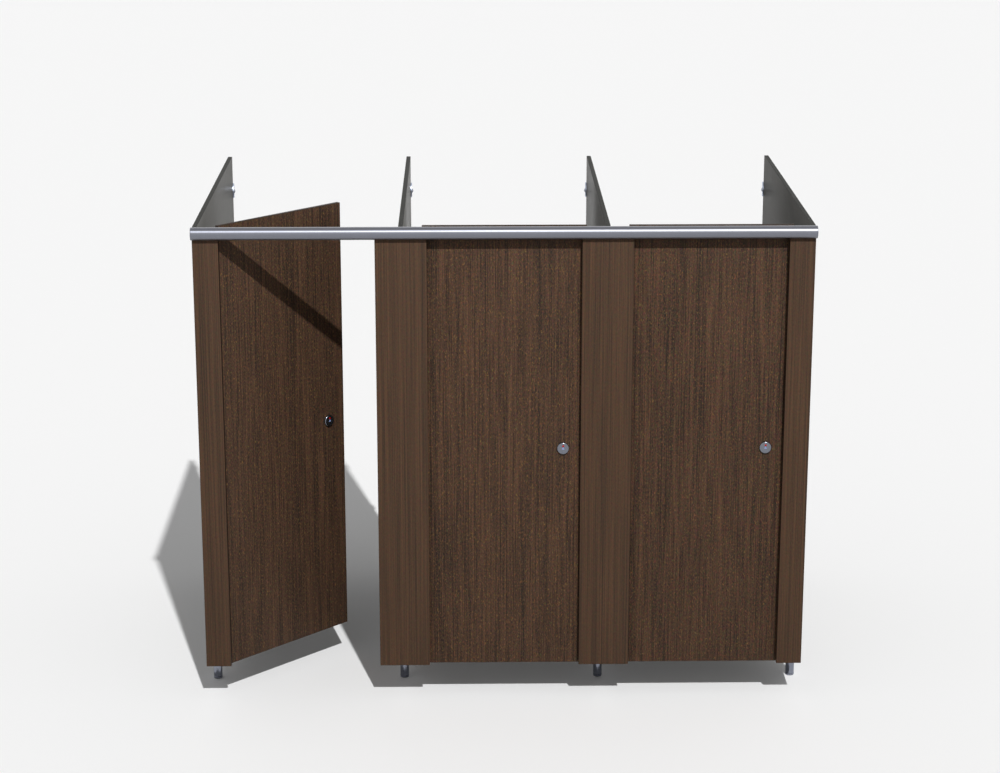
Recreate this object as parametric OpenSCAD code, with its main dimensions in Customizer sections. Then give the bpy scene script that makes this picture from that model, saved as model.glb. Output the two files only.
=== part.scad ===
// Bank of three washroom cubicles: grey partitions fixed to a rear wall, wood-grain pilasters and
// inward opening doors, a round headrail, round legs with levelling feet.
// X runs along the bank, +Y points to the rear wall, Z is up. The origin is on the floor, under the
// middle of the bank. Doors are counted 0, 1, 2 and uprights 0 to 3 from the left.

/* [Bank] */
// Distance between the centre lines of two cubicles
bay_pitch = 800; // [760:10:1000]
// Width of a pilaster between two doors; the two end ones are half as wide
pilaster_w = 200; // [160:10:300]
// Height of every board
panel_h = 1803; // [1500:1:2100]
// Gap between the floor and the boards
floor_gap = 150; // [110:5:250]
// Depth of a partition, from the pilaster to its rear edge
partition_len = 1500; // [1000:10:1800]
// Gap between a partition's rear edge and the wall
wall_gap = 7; // [7:1:12]

/* [Board thicknesses] */
// Thickness of a partition
partition_t = 18; // [13:1:25]
// Thickness of a pilaster
pilaster_t = 18; // [13:1:20]
// Thickness of a door
door_t = 18; // [13:1:25]

/* [Headrail] */
// Outer diameter of the rail tube
rail_d = 50; // [48:1:60]
// Wall of the rail tube
rail_wall = 2; // [1.5:0.5:3]
// How far the rail's axis lies below the top of the boards
rail_drop = 23; // [14:1:30]
// How far a pilaster reaches above the rail's axis, inside the tube
pilaster_entry = 8; // [2:1:9]
// Thickness of an end cap outside the tube
cap_t = 4; // [3:1:8]
// Length of an end cap's plug inside the tube
cap_plug = 15; // [8:1:30]
// Rounding of an end cap's rim
cap_round = 1.5; // [0.5:0.5:2.5]

/* [Doors] */
// How far a door reaches behind the pilaster at each side
door_overlap = 18; // [14:1:24]
// Gap between the rail and the front face of a closed door
door_rail_gap = 2; // [1:0.5:6]
// How far the left door stands open
left_door_angle = 45.5; // [0:0.5:90]
// Radius of a rubber door stop
stop_r = 6; // [4:0.5:7]
// Distance of the outer door stops from the ends of the door
stop_inset = 150; // [80:10:300]

/* [Hinges] */
// Height of a hinge
hinge_h = 80; // [60:5:110]
// Distance of the outer hinges from the ends of the door
hinge_inset = 200; // [160:10:300]
// Diameter of the hinge pin
pin_d = 6; // [4:0.5:7]
// Outer diameter of a knuckle
knuckle_d = 12; // [11:1:14]
// Height of the middle knuckle, which belongs to the door
knuckle_mid = 28; // [20:2:32]
// Thickness of a hinge leaf
leaf_t = 2.5; // [2:0.5:3.5]
// Width of a hinge leaf
leaf_w = 32; // [26:1:34]

/* [Lock] */
// Height of the lock above the bottom edge of the door
lock_h = 906.5; // [600:0.5:1200]
// Distance of the lock's axis from the edge of the clear opening
lock_backset = 68; // [60:1:90]
// Diameter of the release disc on the door's outside
disc_d = 48; // [38:1:60]
// Thickness of the release disc
disc_t = 9; // [7:0.5:12]
// Bevel of the release disc's rim
disc_bevel = 3; // [1:0.5:4]
// Diameter of the red position dot
dot_d = 8; // [6:0.5:10]
// Height of the position dot above the disc's centre
dot_up = 10.5; // [9:0.5:13]
// Side of the triangular key recess
key_side = 12; // [8:0.5:12]
// Diameter of the spindle
spindle_d = 8; // [6:0.5:9]
// Travel of the bolt for a quarter turn
bolt_travel = 20; // [14:1:22]
// Height of the bolt's nose
nose_h = 16; // [12:1:20]
// Length of the thumb knob's bar
knob_len = 44; // [34:1:56]
// How far the thumb knob stands out from the lock case
knob_out = 20; // [14:1:26]

/* [Coat hook] */
// Distance of the coat hook below the top edge of the door
hook_drop = 200; // [100:10:600]
// Length of the hook with its rubber buffer
hook_len = 56; // [40:1:60]
// Diameter of the hook's foot plate
hook_foot_d = 40; // [30:1:50]

/* [Legs] */
// Outer diameter of a leg
leg_d = 36; // [32:1:50]
// Wall of the leg tube
leg_wall = 2; // [1.5:0.5:4]
// Distance of a leg's axis from the end of the partition
leg_inset = 230; // [100:5:400]
// How far a leg's axis stands to one side of the partition's middle
leg_shift = 9; // [0:0.5:9]
// Length of the shoe that grips the partition
shoe_len = 60; // [50:1:100]
// Height of the shoe's cheeks above the board's bottom edge
shoe_h = 40; // [30:1:60]
// Thickness of the shoe
shoe_t = 3; // [2:0.5:5]
// Diameter of a foot pad
pad_d = 36; // [28:1:40]
// Thickness of a foot pad
pad_t = 9; // [6:0.5:12]
// Diameter of the foot's threaded stud
stud_d = 12; // [8:1:16]
// Gap between the pad and the leg while the foot is screwed right in
foot_gap = 0.5; // [0.3:0.1:10]

/* [Brackets and angles] */
// Radius of a wall bracket's two half-round cheeks
bracket_r = 33; // [30:1:40]
// Thickness of a wall bracket
bracket_t = 5; // [2:0.5:6]
// Distance of the outer wall brackets from the ends of the board
bracket_inset = 153; // [100:1:300]
// Diameter of the two wall screw holes in a bracket
wall_hole_d = 6.5; // [4.5:0.5:8]
// Distance between the two wall screw holes
wall_hole_pitch = 28; // [22:1:30]
// Diameter of the bolt through the partition
bolt_d = 8; // [6:1:10]
// Length of a corner angle's legs
angle_w = 30; // [24:1:30]
// Height of a corner angle
angle_h = 60; // [50:1:80]
// Thickness of a corner angle
angle_t = 3; // [2:0.5:4]
// Distance of the outer corner angles from the ends of the board
angle_inset = 100; // [90:5:110]
// How far the middle corner angle lies below the middle of the board
angle_drop = 150; // [90:10:300]

/* [Screws] */
// Diameter of every board screw
screw_d = 4; // [3:0.5:5]
// Diameter of a board screw's head
head_d = 8; // [7:0.5:9]
// Height of a board screw's head
head_t = 2.2; // [1.5:0.1:3]

/* [Hidden] */

$fn = 48;

// Clearances
touch_gap = 0.3;      // between parts that only just don't touch
fit_gap = 0.05;       // radial, around a pin, spindle, stud or screw
slide_gap = 0.3;      // around the sliding bolt
hole_gap = 0.2;       // radial, around a screw in a metal part
cut = 1;              // how far a cutting shape runs past a face

// Main lines along the bank
last = 3;
run_w = last * bay_pitch;
door_opening = bay_pitch - pilaster_w;
door_w = door_opening + 2 * door_overlap;
function line_x(j) = (j - last / 2) * bay_pitch;
function bay_x(i) = (i - 1) * bay_pitch;
function is_end(j) = j == 0 || j == last;
function partition_x(j) =
    j == 0 ? line_x(j) : j == last ? line_x(j) - partition_t : line_x(j) - partition_t / 2;
function pilaster_x(j) = j == 0 ? line_x(j) : line_x(j) - pilaster_w / 2;
function width_of_pilaster(j) = is_end(j) ? pilaster_w / 2 : pilaster_w;
function hinge_x(i) = bay_x(i) - door_w / 2;
// Face of partition j on side s, which is -1 for left and 1 for right
function face_x(j, s) = partition_x(j) + (s > 0 ? partition_t : 0);
function middle_x(j) = partition_x(j) + partition_t / 2;

// Main lines from front to back
depth = rail_d / 2 + pilaster_t + partition_len + wall_gap;
front_y = rail_d / 2 - depth / 2;
pilaster_back = front_y + pilaster_t;
partition_back = pilaster_back + partition_len;
wall_y = depth / 2;
door_front = front_y + rail_d / 2 + door_rail_gap;
knuckle_gap = 0.5;
pin_y = door_front + door_t + knuckle_gap + knuckle_d / 2;
leg_y = [pilaster_back + leg_inset, partition_back - leg_inset];

// Main levels
board_top = floor_gap + panel_h;
rail_z = board_top - rail_drop;
// Three levels, inset from both ends of the boards and one in the middle
function levels(inset, drop = 0) =
    [floor_gap + inset, floor_gap + panel_h / 2 - drop, board_top - inset];

// The sides of each upright that carry a corner angle
ANGLE_SIDES = [[0, 1], [1, -1], [1, 1], [2, -1], [2, 1], [3, -1]];
// The side of each partition that the heads of the wall brackets' bolts are on
BRACKET_SIDE = [1, 1, -1, -1];
// The side of each partition's middle that its legs stand on. The last pair stays in the middle,
// because it would reach past the end of the bank.
LEG_SIDE = [1, -1, -1, 0];
function leg_x(j) = middle_x(j) + LEG_SIDE[j] * leg_shift;

// A door's own frame has its origin on the hinge axis, x along the closed door, y to the rear
door_face = -knuckle_gap - knuckle_d / 2;
door_outside = door_face - door_t;
function door_angle(i) = i == 0 ? left_door_angle : 0;
module in_door(i) {
    translate([hinge_x(i), pin_y, 0]) rotate([0, 0, door_angle(i)]) children();
}
// The lock's own frame has its origin on the spindle axis, on the door's inside face
lock_x = door_w - door_overlap - lock_backset;
lock_z = floor_gap + lock_h;
module in_lock(i) {
    in_door(i) translate([lock_x, door_face, lock_z]) children();
}

// Turns that point a shape's +Z along another direction
module point_rear() { rotate([-90, 0, 0]) children(); }
module point_front() { rotate([90, 0, 0]) children(); }
module point_side(s) { rotate([0, s * 90, 0]) children(); }

// ---- Screws -------------------------------------------------------------------------------------
screw_edge = 1;                              // least board left beyond a screw's tip
side_screw = partition_t / 2 - screw_edge;   // depth of a screw in a partition, from one face
back_screw = pilaster_t - 5;                 // depth of a screw in a pilaster
door_screw = door_t - 5;                     // depth of a screw in a door
tip_room = 0.5;                              // how much deeper the drilled hole is
head_taper = 0.6;                            // share of the head's diameter that is left at its top

// A pan head screw that points down from its seat at z = 0, through a plate of thickness t
module screw(deep, t, drill = false) {
    if (drill) {
        translate([0, 0, -t - deep - tip_room])
            cylinder(d = screw_d + 2 * fit_gap, h = t + deep + tip_room + cut);
    } else {
        translate([0, 0, -t - deep]) cylinder(d = screw_d, h = t + deep + head_t / 2);
        cylinder(d1 = head_d, d2 = head_d * head_taper, h = head_t);
    }
}
module screw_hole(t) {
    translate([0, 0, -t - cut]) cylinder(d = screw_d + 2 * hole_gap, h = t + 2 * cut);
}

// ---- Corner angles ------------------------------------------------------------------------------
angle_hole = angle_w * 0.6;        // from the corner to the row of holes
angle_hole_z = angle_h * 0.3;      // above and below the angle's middle
// Frame of one angle: origin in the corner, x away from the partition, y to the rear
module at_angles(j, s) {
    for (z = levels(angle_inset, angle_drop))
        translate([face_x(j, s), pilaster_back, z]) mirror([s < 0 ? 1 : 0, 0, 0]) children();
}
module corner_angle() {
    difference() {
        union() {
            translate([0, 0, -angle_h / 2]) cube([angle_w, angle_t, angle_h]);
            translate([0, 0, -angle_h / 2]) cube([angle_t, angle_w, angle_h]);
        }
        for (up = [-1, 1]) {
            translate([angle_hole, angle_t, up * angle_hole_z]) point_rear() screw_hole(angle_t);
            translate([angle_t, angle_hole, up * angle_hole_z]) point_side(1) screw_hole(angle_t);
        }
    }
}
module corner_angles() {
    color("silver") for (a = ANGLE_SIDES) at_angles(a[0], a[1]) corner_angle();
}
module angle_screws_to_pilaster(drill) {
    for (up = [-1, 1])
        translate([angle_hole, angle_t, up * angle_hole_z])
            point_rear() screw(back_screw, angle_t, drill);
}
module angle_screws_to_partition(drill) {
    for (up = [-1, 1])
        translate([angle_t, angle_hole, up * angle_hole_z])
            point_side(1) screw(side_screw, angle_t, drill);
}

// ---- Headrail -----------------------------------------------------------------------------------
rail_screw_x = 50;       // from a partition's line to its rail screws
rail_screw_deep = 12;
function rail_screw_sides(j) = j == 0 ? [1] : j == last ? [-1] : [-1, 1];
module rail_screws(j, drill = false) {
    gap = rail_d / 2 - pilaster_t;
    for (s = rail_screw_sides(j))
        translate([line_x(j) + s * rail_screw_x, front_y + rail_d / 2, rail_z])
            point_rear() screw(rail_screw_deep, gap, drill);
}
// Room for the top of a pilaster inside the rail
module pilaster_room(j) {
    translate([pilaster_x(j) - touch_gap, front_y - touch_gap, floor_gap])
        cube([
            width_of_pilaster(j) + 2 * touch_gap,
            pilaster_t + 2 * touch_gap,
            rail_z + pilaster_entry + touch_gap - floor_gap
        ]);
}
module headrail_tube() {
    color("gainsboro") difference() {
        translate([-run_w / 2, front_y, rail_z]) point_side(1) difference() {
            cylinder(d = rail_d, h = run_w, $fn = 96);
            translate([0, 0, -cut]) cylinder(d = rail_d - 2 * rail_wall, h = run_w + 2 * cut, $fn = 96);
        }
        for (j = [0 : last]) {
            pilaster_room(j);
            rail_screws(j, drill = true);
        }
    }
}
module rail_cap() {
    rim = rail_d / 2;
    plug = rim - rail_wall - touch_gap;
    rotate_extrude($fn = 96) difference() {
        union() {
            translate([0, -cap_plug]) square([plug, cap_plug]);
            square([rim - cap_round, cap_t]);
            square([rim, cap_t - cap_round]);
            translate([rim - cap_round, cap_t - cap_round]) circle(r = cap_round);
        }
        translate([-rim, -cap_plug - cut]) square([rim, cap_plug + cap_t + 2 * cut]);
    }
}
module headrail_caps() {
    color("gainsboro") for (s = [-1, 1]) difference() {
        translate([s * run_w / 2, front_y, rail_z]) point_side(s) rail_cap();
        intersection() {
            pilaster_room(s < 0 ? 0 : last);
            translate([-run_w / 2, -depth, 0]) cube([run_w, 2 * depth, 2 * board_top]);
        }
    }
}

// ---- Legs and feet ------------------------------------------------------------------------------
shoe_screw_z = shoe_h * 0.55;
leg_bottom = pad_t + foot_gap;
leg_plug = 12;            // solid ends of the leg tube
stud_len = 55;            // how far the stud reaches into the leg
pad_bevel = 1;
module leg_screws(j, drill = false) {
    for (y = leg_y, s = [-1, 1])
        translate([face_x(j, s) + s * (shoe_t + fit_gap), y, floor_gap + shoe_screw_z])
            point_side(s) screw(side_screw, shoe_t + fit_gap, drill);
}
// One leg, with its axis at x = y = 0 and the partition's middle at x = board_x
module leg(board_x) {
    shoe_w = partition_t + 2 * fit_gap + 2 * shoe_t;
    tube_top = floor_gap - shoe_t;
    difference() {
        union() {
            translate([board_x - shoe_w / 2, -shoe_len / 2, tube_top])
                cube([shoe_w, shoe_len, shoe_t + shoe_h]);
            translate([0, 0, leg_bottom]) cylinder(d = leg_d, h = tube_top - leg_bottom + shoe_t / 2);
        }
        translate([board_x - partition_t / 2 - fit_gap, -shoe_len / 2 - cut, floor_gap])
            cube([partition_t + 2 * fit_gap, shoe_len + 2 * cut, shoe_h + cut]);
        translate([0, 0, leg_bottom + leg_plug])
            cylinder(d = leg_d - 2 * leg_wall, h = tube_top - leg_bottom - 2 * leg_plug);
        translate([0, 0, leg_bottom - cut])
            cylinder(d = stud_d + 2 * fit_gap, h = leg_plug + 2 * cut);
        for (s = [-1, 1])
            translate([board_x + s * shoe_w / 2, 0, floor_gap + shoe_screw_z])
                point_side(s) screw_hole(shoe_t);
    }
}
module legs() {
    color("lightsteelblue") for (j = [0 : last], y = leg_y)
        translate([leg_x(j), y, 0]) leg(middle_x(j) - leg_x(j));
}
module foot(j, row) {
    translate([leg_x(j), leg_y[row], 0]) {
        color("lightsteelblue") cylinder(d = pad_d, h = pad_t - pad_bevel);
        color("lightsteelblue") translate([0, 0, pad_t - pad_bevel])
            cylinder(d1 = pad_d, d2 = pad_d - 2 * pad_bevel, h = pad_bevel);
        color("silver") cylinder(d = stud_d, h = leg_bottom + stud_len);
    }
}

// ---- Wall brackets ------------------------------------------------------------------------------
bracket_bolt_y = 0.6 * bracket_r;   // from the wall to the bolt through the partition
bolt_head_d = 2.5 * bolt_d;
bolt_head_t = 6;
nut_d = 2 * bolt_d;
nut_t = 5;
cheek_x = partition_t / 2 + fit_gap;        // from the partition's middle to a cheek's inside
bracket_x = cheek_x + bracket_t;            // and to its outside
// Frame of one bracket: origin on the wall, in the partition's middle, x to the bolt's head
module at_brackets(j) {
    for (z = levels(bracket_inset))
        translate([middle_x(j), wall_y, z]) mirror([BRACKET_SIDE[j] < 0 ? 1 : 0, 0, 0]) children();
}
// A U-shaped bracket: a web on the wall and a half-round cheek on each face of the partition
module wall_bracket() {
    difference() {
        intersection() {
            translate([-bracket_x, 0, 0]) point_side(1) cylinder(r = bracket_r, h = 2 * bracket_x);
            translate([-bracket_x, -bracket_r, -bracket_r])
                cube([2 * bracket_x, bracket_r, 2 * bracket_r]);
        }
        translate([-cheek_x, -bracket_r - cut, -bracket_r - cut])
            cube([2 * cheek_x, bracket_r + cut - bracket_t, 2 * (bracket_r + cut)]);
        for (up = [-1, 1])
            translate([0, cut, up * wall_hole_pitch / 2])
                point_front() cylinder(d = wall_hole_d, h = bracket_t + 2 * cut);
        translate([-bracket_x - cut, -bracket_bolt_y, 0])
            point_side(1) cylinder(d = bolt_d + 2 * hole_gap, h = 2 * (bracket_x + cut));
    }
}
module wall_brackets() {
    color("silver") for (j = [0 : last]) at_brackets(j) wall_bracket();
}
// A round head with a domed top
module dome(d, t) {
    r = 0.6 * d;
    intersection() {
        cylinder(d = d, h = t);
        translate([0, 0, t - r]) sphere(r = r);
    }
}
module bracket_bolt() {
    translate([0, -bracket_bolt_y, 0]) point_side(1) {
        translate([0, 0, -bracket_x - nut_t / 2])
            cylinder(d = bolt_d, h = 2 * bracket_x + nut_t / 2 + bolt_head_t / 2);
        translate([0, 0, bracket_x]) dome(bolt_head_d, bolt_head_t);
    }
}
module bracket_nut() {
    translate([-bracket_x, -bracket_bolt_y, 0]) point_side(-1) difference() {
        dome(nut_d, nut_t);
        translate([0, 0, -cut]) cylinder(d = bolt_d + 2 * fit_gap, h = cut + nut_t / 2 + fit_gap);
    }
}
module bracket_bolts() {
    color("white") for (j = [0 : last]) at_brackets(j) {
        bracket_bolt();
        bracket_nut();
    }
}
module bracket_drills(j) {
    at_brackets(j) translate([-partition_t / 2 - cut, -bracket_bolt_y, 0])
        point_side(1) cylinder(d = bolt_d + 2 * fit_gap, h = partition_t + 2 * cut);
}

// ---- Boards -------------------------------------------------------------------------------------
module partition_screws(j, drill = false) {
    for (a = ANGLE_SIDES) if (a[0] == j) at_angles(j, a[1]) angle_screws_to_partition(drill);
    leg_screws(j, drill);
}
module pilaster_screws(j, drill = false) {
    for (a = ANGLE_SIDES) if (a[0] == j) at_angles(j, a[1]) angle_screws_to_pilaster(drill);
    if (j < last) frame_leaf_screws(j, drill);
    if (j > 0) keep_screws(j - 1, drill);
    rail_screws(j, drill);
}
module partition(j) {
    notch_y = rail_d / 2 - pilaster_t + touch_gap;
    notch_z = rail_z - rail_d / 2 - touch_gap;
    color("dimgray") difference() {
        translate([partition_x(j), pilaster_back, floor_gap]) cube([partition_t, partition_len, panel_h]);
        translate([partition_x(j) - cut, pilaster_back - cut, notch_z])
            cube([partition_t + 2 * cut, notch_y + cut, board_top - notch_z + cut]);
        partition_screws(j, drill = true);
        bracket_drills(j);
    }
}
module pilaster(j) {
    color("saddlebrown") difference() {
        translate([pilaster_x(j), front_y, floor_gap])
            cube([width_of_pilaster(j), pilaster_t, rail_z + pilaster_entry - floor_gap]);
        pilaster_screws(j, drill = true);
    }
}
module panel_screws() {
    color("gray") for (j = [0 : last]) {
        partition_screws(j);
        pilaster_screws(j);
    }
}

// ---- Hinges -------------------------------------------------------------------------------------
frame_reach = pin_y - pilaster_back;      // from the pilaster's rear face to the hinge axis
web_room = 2;                             // between a knuckle and the other leaf
leaf_hole_z = hinge_h * 0.32;
frame_hole_x = -knuckle_d / 2 - leaf_w / 2;
door_leaf_x = knuckle_d / 2 + web_room;
door_hole_x = door_leaf_x + leaf_w / 2;
pin_head_t = 2;
// Frame of one hinge: origin on its axis, x along the closed door
module at_hinges(i) {
    for (z = levels(hinge_inset)) translate([hinge_x(i), pin_y, z]) children();
}
module frame_leaf() {
    knuckle_h = (hinge_h - knuckle_mid) / 2 - touch_gap;
    web_y = knuckle_d / 2 + web_room;
    difference() {
        union() {
            translate([-knuckle_d / 2 - leaf_w, -frame_reach, -hinge_h / 2])
                cube([leaf_w + leaf_t, leaf_t, hinge_h]);
            translate([-knuckle_d / 2, -frame_reach, -hinge_h / 2])
                cube([leaf_t, frame_reach - web_y, hinge_h]);
            for (z = [-hinge_h / 2, hinge_h / 2 - knuckle_h]) translate([0, 0, z]) {
                cylinder(d = knuckle_d, h = knuckle_h);
                translate([-knuckle_d / 2, -web_y, 0]) cube([leaf_t, web_y, knuckle_h]);
            }
        }
        translate([0, 0, -hinge_h]) cylinder(d = pin_d + 2 * fit_gap, h = 2 * hinge_h);
        for (up = [-1, 1])
            translate([frame_hole_x, leaf_t - frame_reach, up * leaf_hole_z])
                point_rear() screw_hole(leaf_t);
    }
}
module door_leaf() {
    difference() {
        union() {
            translate([door_leaf_x, door_face, -hinge_h / 2]) cube([leaf_w, leaf_t, hinge_h]);
            translate([0, door_face, -knuckle_mid / 2]) cube([door_leaf_x + cut, leaf_t, knuckle_mid]);
            translate([0, 0, -knuckle_mid / 2]) cylinder(d = knuckle_d, h = knuckle_mid);
        }
        translate([0, 0, -hinge_h]) cylinder(d = pin_d + 2 * fit_gap, h = 2 * hinge_h);
        for (up = [-1, 1])
            translate([door_hole_x, door_face + leaf_t, up * leaf_hole_z])
                point_rear() screw_hole(leaf_t);
    }
}
module hinge_pin() {
    translate([0, 0, -hinge_h / 2]) cylinder(d = pin_d, h = hinge_h);
    for (s = [-1, 1]) translate([0, 0, s * hinge_h / 2])
        mirror([0, 0, s < 0 ? 1 : 0]) cylinder(d1 = pin_d + 3, d2 = pin_d + 1, h = pin_head_t);
}
module hinge_frame_leaves() {
    color("silver") for (i = [0 : last - 1]) at_hinges(i) frame_leaf();
}
module hinge_pins() {
    color("gray") for (i = [0 : last - 1]) at_hinges(i) hinge_pin();
}
module frame_leaf_screws(i, drill) {
    at_hinges(i) for (up = [-1, 1])
        translate([frame_hole_x, leaf_t - frame_reach, up * leaf_hole_z])
            point_rear() screw(back_screw, leaf_t, drill);
}
module hinge_leaves(i) {
    color("silver") in_door(i) for (z = levels(hinge_inset)) translate([0, 0, z]) door_leaf();
}

// ---- Lock ---------------------------------------------------------------------------------------
// The crank's pin drives the bolt from 45 degrees before the top to 45 degrees past it. The bolt
// follows the pin's swing, so the pin's radius comes from the travel.
crank_r = bolt_travel / sqrt(2);
crank_pin_d = 5;
crank_lag = 0.03 * crank_r;          // most that a steady travel differs from the pin's swing
crank_disc_r = crank_r + crank_pin_d / 2 + 1;
crank_y = 1;
crank_t = 3.5;
plate_y = crank_y + crank_t + slide_gap;
plate_t = 6;
case_wall = 1.5;
case_d = plate_y + plate_t + slide_gap + case_wall;
slot_end = spindle_d / 2 + 0.6;      // half width of the bolt's slot for the spindle
pin_slot = crank_pin_d / 2 + crank_lag + 0.2;
plate_up = crank_r + crank_pin_d / 2 + 8;
plate_down = crank_disc_r + 3;
plate_back = bolt_travel + slot_end + 5;
plate_front = crank_disc_r + 8;
case_back = plate_back + case_wall + 2 * slide_gap;
case_front = lock_backset + door_overlap - 2;
nose_end = case_front - 1;
// The case's tabs, above and below, and their screws
tab_w = 22;
tab_out = 11;
tab_t = 2;
tab_x = (case_front - case_back) / 2;
module case_outer() {
    up = plate_up + slide_gap + case_wall;
    down = plate_down + slide_gap + case_wall;
    translate([-case_back, 0, -down]) cube([case_back + case_front, case_d, up + down]);
    translate([tab_x - tab_w / 2, 0, -down - tab_out]) cube([tab_w, tab_t, up + down + 2 * tab_out]);
}
function tab_screw_z() = [
    plate_up + slide_gap + case_wall + tab_out / 2,
    -plate_down - slide_gap - case_wall - tab_out / 2
];
module lock_case(i) {
    color("lightgray") in_lock(i) difference() {
        case_outer();
        translate([case_wall - case_back, -cut, -plate_down - slide_gap])
            cube([
                case_back + case_front - 2 * case_wall,
                cut + case_d - case_wall,
                plate_up + plate_down + 2 * slide_gap
            ]);
        translate([0, plate_y - slide_gap, -nose_h / 2 - slide_gap])
            cube([case_front + cut, plate_t + 2 * slide_gap, nose_h + 2 * slide_gap]);
        point_rear() cylinder(d = spindle_d + 2 * fit_gap, h = case_d + cut);
        for (z = tab_screw_z()) translate([tab_x, tab_t, z]) point_rear() screw_hole(tab_t);
    }
}
module lock_bolt(i) {
    color("silver") in_lock(i) difference() {
        union() {
            translate([-plate_back, plate_y, -plate_down])
                cube([plate_back + plate_front, plate_t, plate_up + plate_down]);
            translate([0, plate_y, -nose_h / 2]) cube([nose_end, plate_t, nose_h]);
        }
        translate([-bolt_travel - slot_end, plate_y - cut, -slot_end])
            cube([bolt_travel + 2 * slot_end, plate_t + 2 * cut, 2 * slot_end]);
        translate([-bolt_travel / 2 - pin_slot, plate_y - cut, crank_r / sqrt(2) - pin_slot])
            cube([
                2 * pin_slot,
                plate_t + 2 * cut,
                crank_r * (1 - 1 / sqrt(2)) + 2 * pin_slot
            ]);
    }
}
knob_gap = touch_gap;
knob_boss_t = 4;
bar_t = knob_out - knob_gap - knob_boss_t;
knob_bore = 8;                       // how deep the spindle sits in the knob
disc_bore = 4;                       // how deep the spindle sits in the release disc
module lock_spindle(i) {
    length = door_t + case_d + 2 * knob_gap + disc_bore + knob_bore;
    color("gray") in_lock(i) {
        translate([0, -door_t - knob_gap - disc_bore, 0]) point_rear() cylinder(d = spindle_d, h = length);
        translate([0, crank_y, 0]) point_rear() cylinder(r = crank_disc_r, h = crank_t);
        translate([-bolt_travel / 2, crank_y, bolt_travel / 2])
            point_rear() cylinder(d = crank_pin_d, h = plate_y + plate_t - crank_y);
    }
}
knob_wall = 7;                       // of the knob's boss, round the spindle
bar_wall = 1.5;                      // of the knob's bar, beside the spindle
module thumb_knob(i) {
    boss_d = spindle_d + 2 * knob_wall;
    bar_w = spindle_d + 2 * bar_wall;
    color("silver") in_lock(i) translate([0, case_d + knob_gap, 0]) difference() {
        union() {
            point_rear() cylinder(d = boss_d, h = knob_boss_t);
            translate([-bar_w / 2, knob_boss_t, (bar_w - knob_len) / 2])
                cube([bar_w, bar_t, knob_len - bar_w]);
            for (s = [-1, 1]) translate([0, knob_boss_t, s * (knob_len - bar_w) / 2])
                point_rear() cylinder(d = bar_w, h = bar_t);
        }
        translate([0, -cut, 0])
            point_rear() cylinder(d = spindle_d + 2 * fit_gap, h = cut + knob_bore + fit_gap);
    }
}
dot_sunk = 1.5;
dot_t = 2;
key_deep = 2.5;
module release_disc(i) {
    r = disc_d / 2;
    high = key_side * sqrt(3) / 2;
    color("silver") in_lock(i) translate([0, -door_t - knob_gap, 0]) point_front() difference() {
        rotate_extrude($fn = 96)
            polygon([[0, 0], [r, 0], [r, disc_t - disc_bevel], [r - disc_bevel, disc_t], [0, disc_t]]);
        translate([0, 0, -cut])
            cylinder(d = spindle_d + 2 * fit_gap, h = cut + disc_bore + fit_gap);
        translate([0, dot_up, disc_t - dot_sunk]) cylinder(d = dot_d + 2 * fit_gap, h = dot_sunk + cut);
        translate([0, 0, disc_t - key_deep]) linear_extrude(key_deep + cut)
            polygon([[-key_side / 2, high / 3], [key_side / 2, high / 3], [0, -high * 2 / 3]]);
    }
}
module position_dot(i) {
    color("red") in_lock(i) translate([0, -door_t - knob_gap - disc_t + dot_sunk, dot_up])
        point_front() cylinder(d = dot_d, h = dot_t);
}

// The keep is a box section on the pilaster's rear face. The bolt's nose slides into it.
keep_gap = 3;                        // between the door's edge and the keep
keep_w = 22;
keep_t = 2.5;
keep_room = 2;                       // around the nose
keep_flange = 12;
keep_top = nose_h / 2 + keep_room + keep_t;
nose_y = pin_y + door_face + plate_y - pilaster_back;
module at_keep(i) {
    translate([hinge_x(i) + door_w + keep_gap, pilaster_back, lock_z]) children();
}
module keep() {
    inner = nose_h + 2 * keep_room;
    back = nose_y + plate_t + keep_room;
    difference() {
        union() {
            translate([0, 0, -keep_top]) cube([keep_w, back + keep_t, 2 * keep_top]);
            translate([0, 0, -keep_top - keep_flange])
                cube([keep_w, keep_t, 2 * keep_top + 2 * keep_flange]);
        }
        translate([-cut, keep_t, -inner / 2]) cube([keep_w + 2 * cut, back - keep_t, inner]);
        for (up = [-1, 1])
            translate([keep_w / 2, keep_t, up * (keep_top + keep_flange / 2)])
                point_rear() screw_hole(keep_t);
    }
}
module keep_screws(i, drill) {
    at_keep(i) for (up = [-1, 1])
        translate([keep_w / 2, keep_t, up * (keep_top + keep_flange / 2)])
            point_rear() screw(back_screw, keep_t, drill);
}
module bolt_keeps() {
    color("silver") for (i = [0 : last - 1]) at_keep(i) keep();
}

// ---- Doors --------------------------------------------------------------------------------------
module door_screws_at(i, drill) {
    in_door(i) for (z = levels(hinge_inset), up = [-1, 1])
        translate([door_hole_x, door_face + leaf_t, z + up * leaf_hole_z])
            point_rear() screw(door_screw, leaf_t, drill);
    in_lock(i) for (z = tab_screw_z())
        translate([tab_x, tab_t, z]) point_rear() screw(door_screw, tab_t, drill);
}
spindle_room = 1;                    // radial, around the spindle in the board
module door_panel(i) {
    color("sienna") difference() {
        in_door(i) translate([0, door_outside, floor_gap]) cube([door_w, door_t, panel_h]);
        door_screws_at(i, true);
        in_lock(i) translate([0, -door_t - cut, 0])
            point_rear() cylinder(d = spindle_d + 2 * spindle_room, h = door_t + 2 * cut);
    }
}
module door_screws(i) {
    color("gray") door_screws_at(i, false);
}
module door_stops() {
    tall = door_front - pilaster_back - touch_gap;
    color("black") for (i = [0 : last - 1], z = levels(stop_inset))
        translate([bay_x(i) + door_opening / 2 + door_overlap / 2, pilaster_back, z])
            point_rear() cylinder(r = stop_r, h = tall);
}

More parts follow.
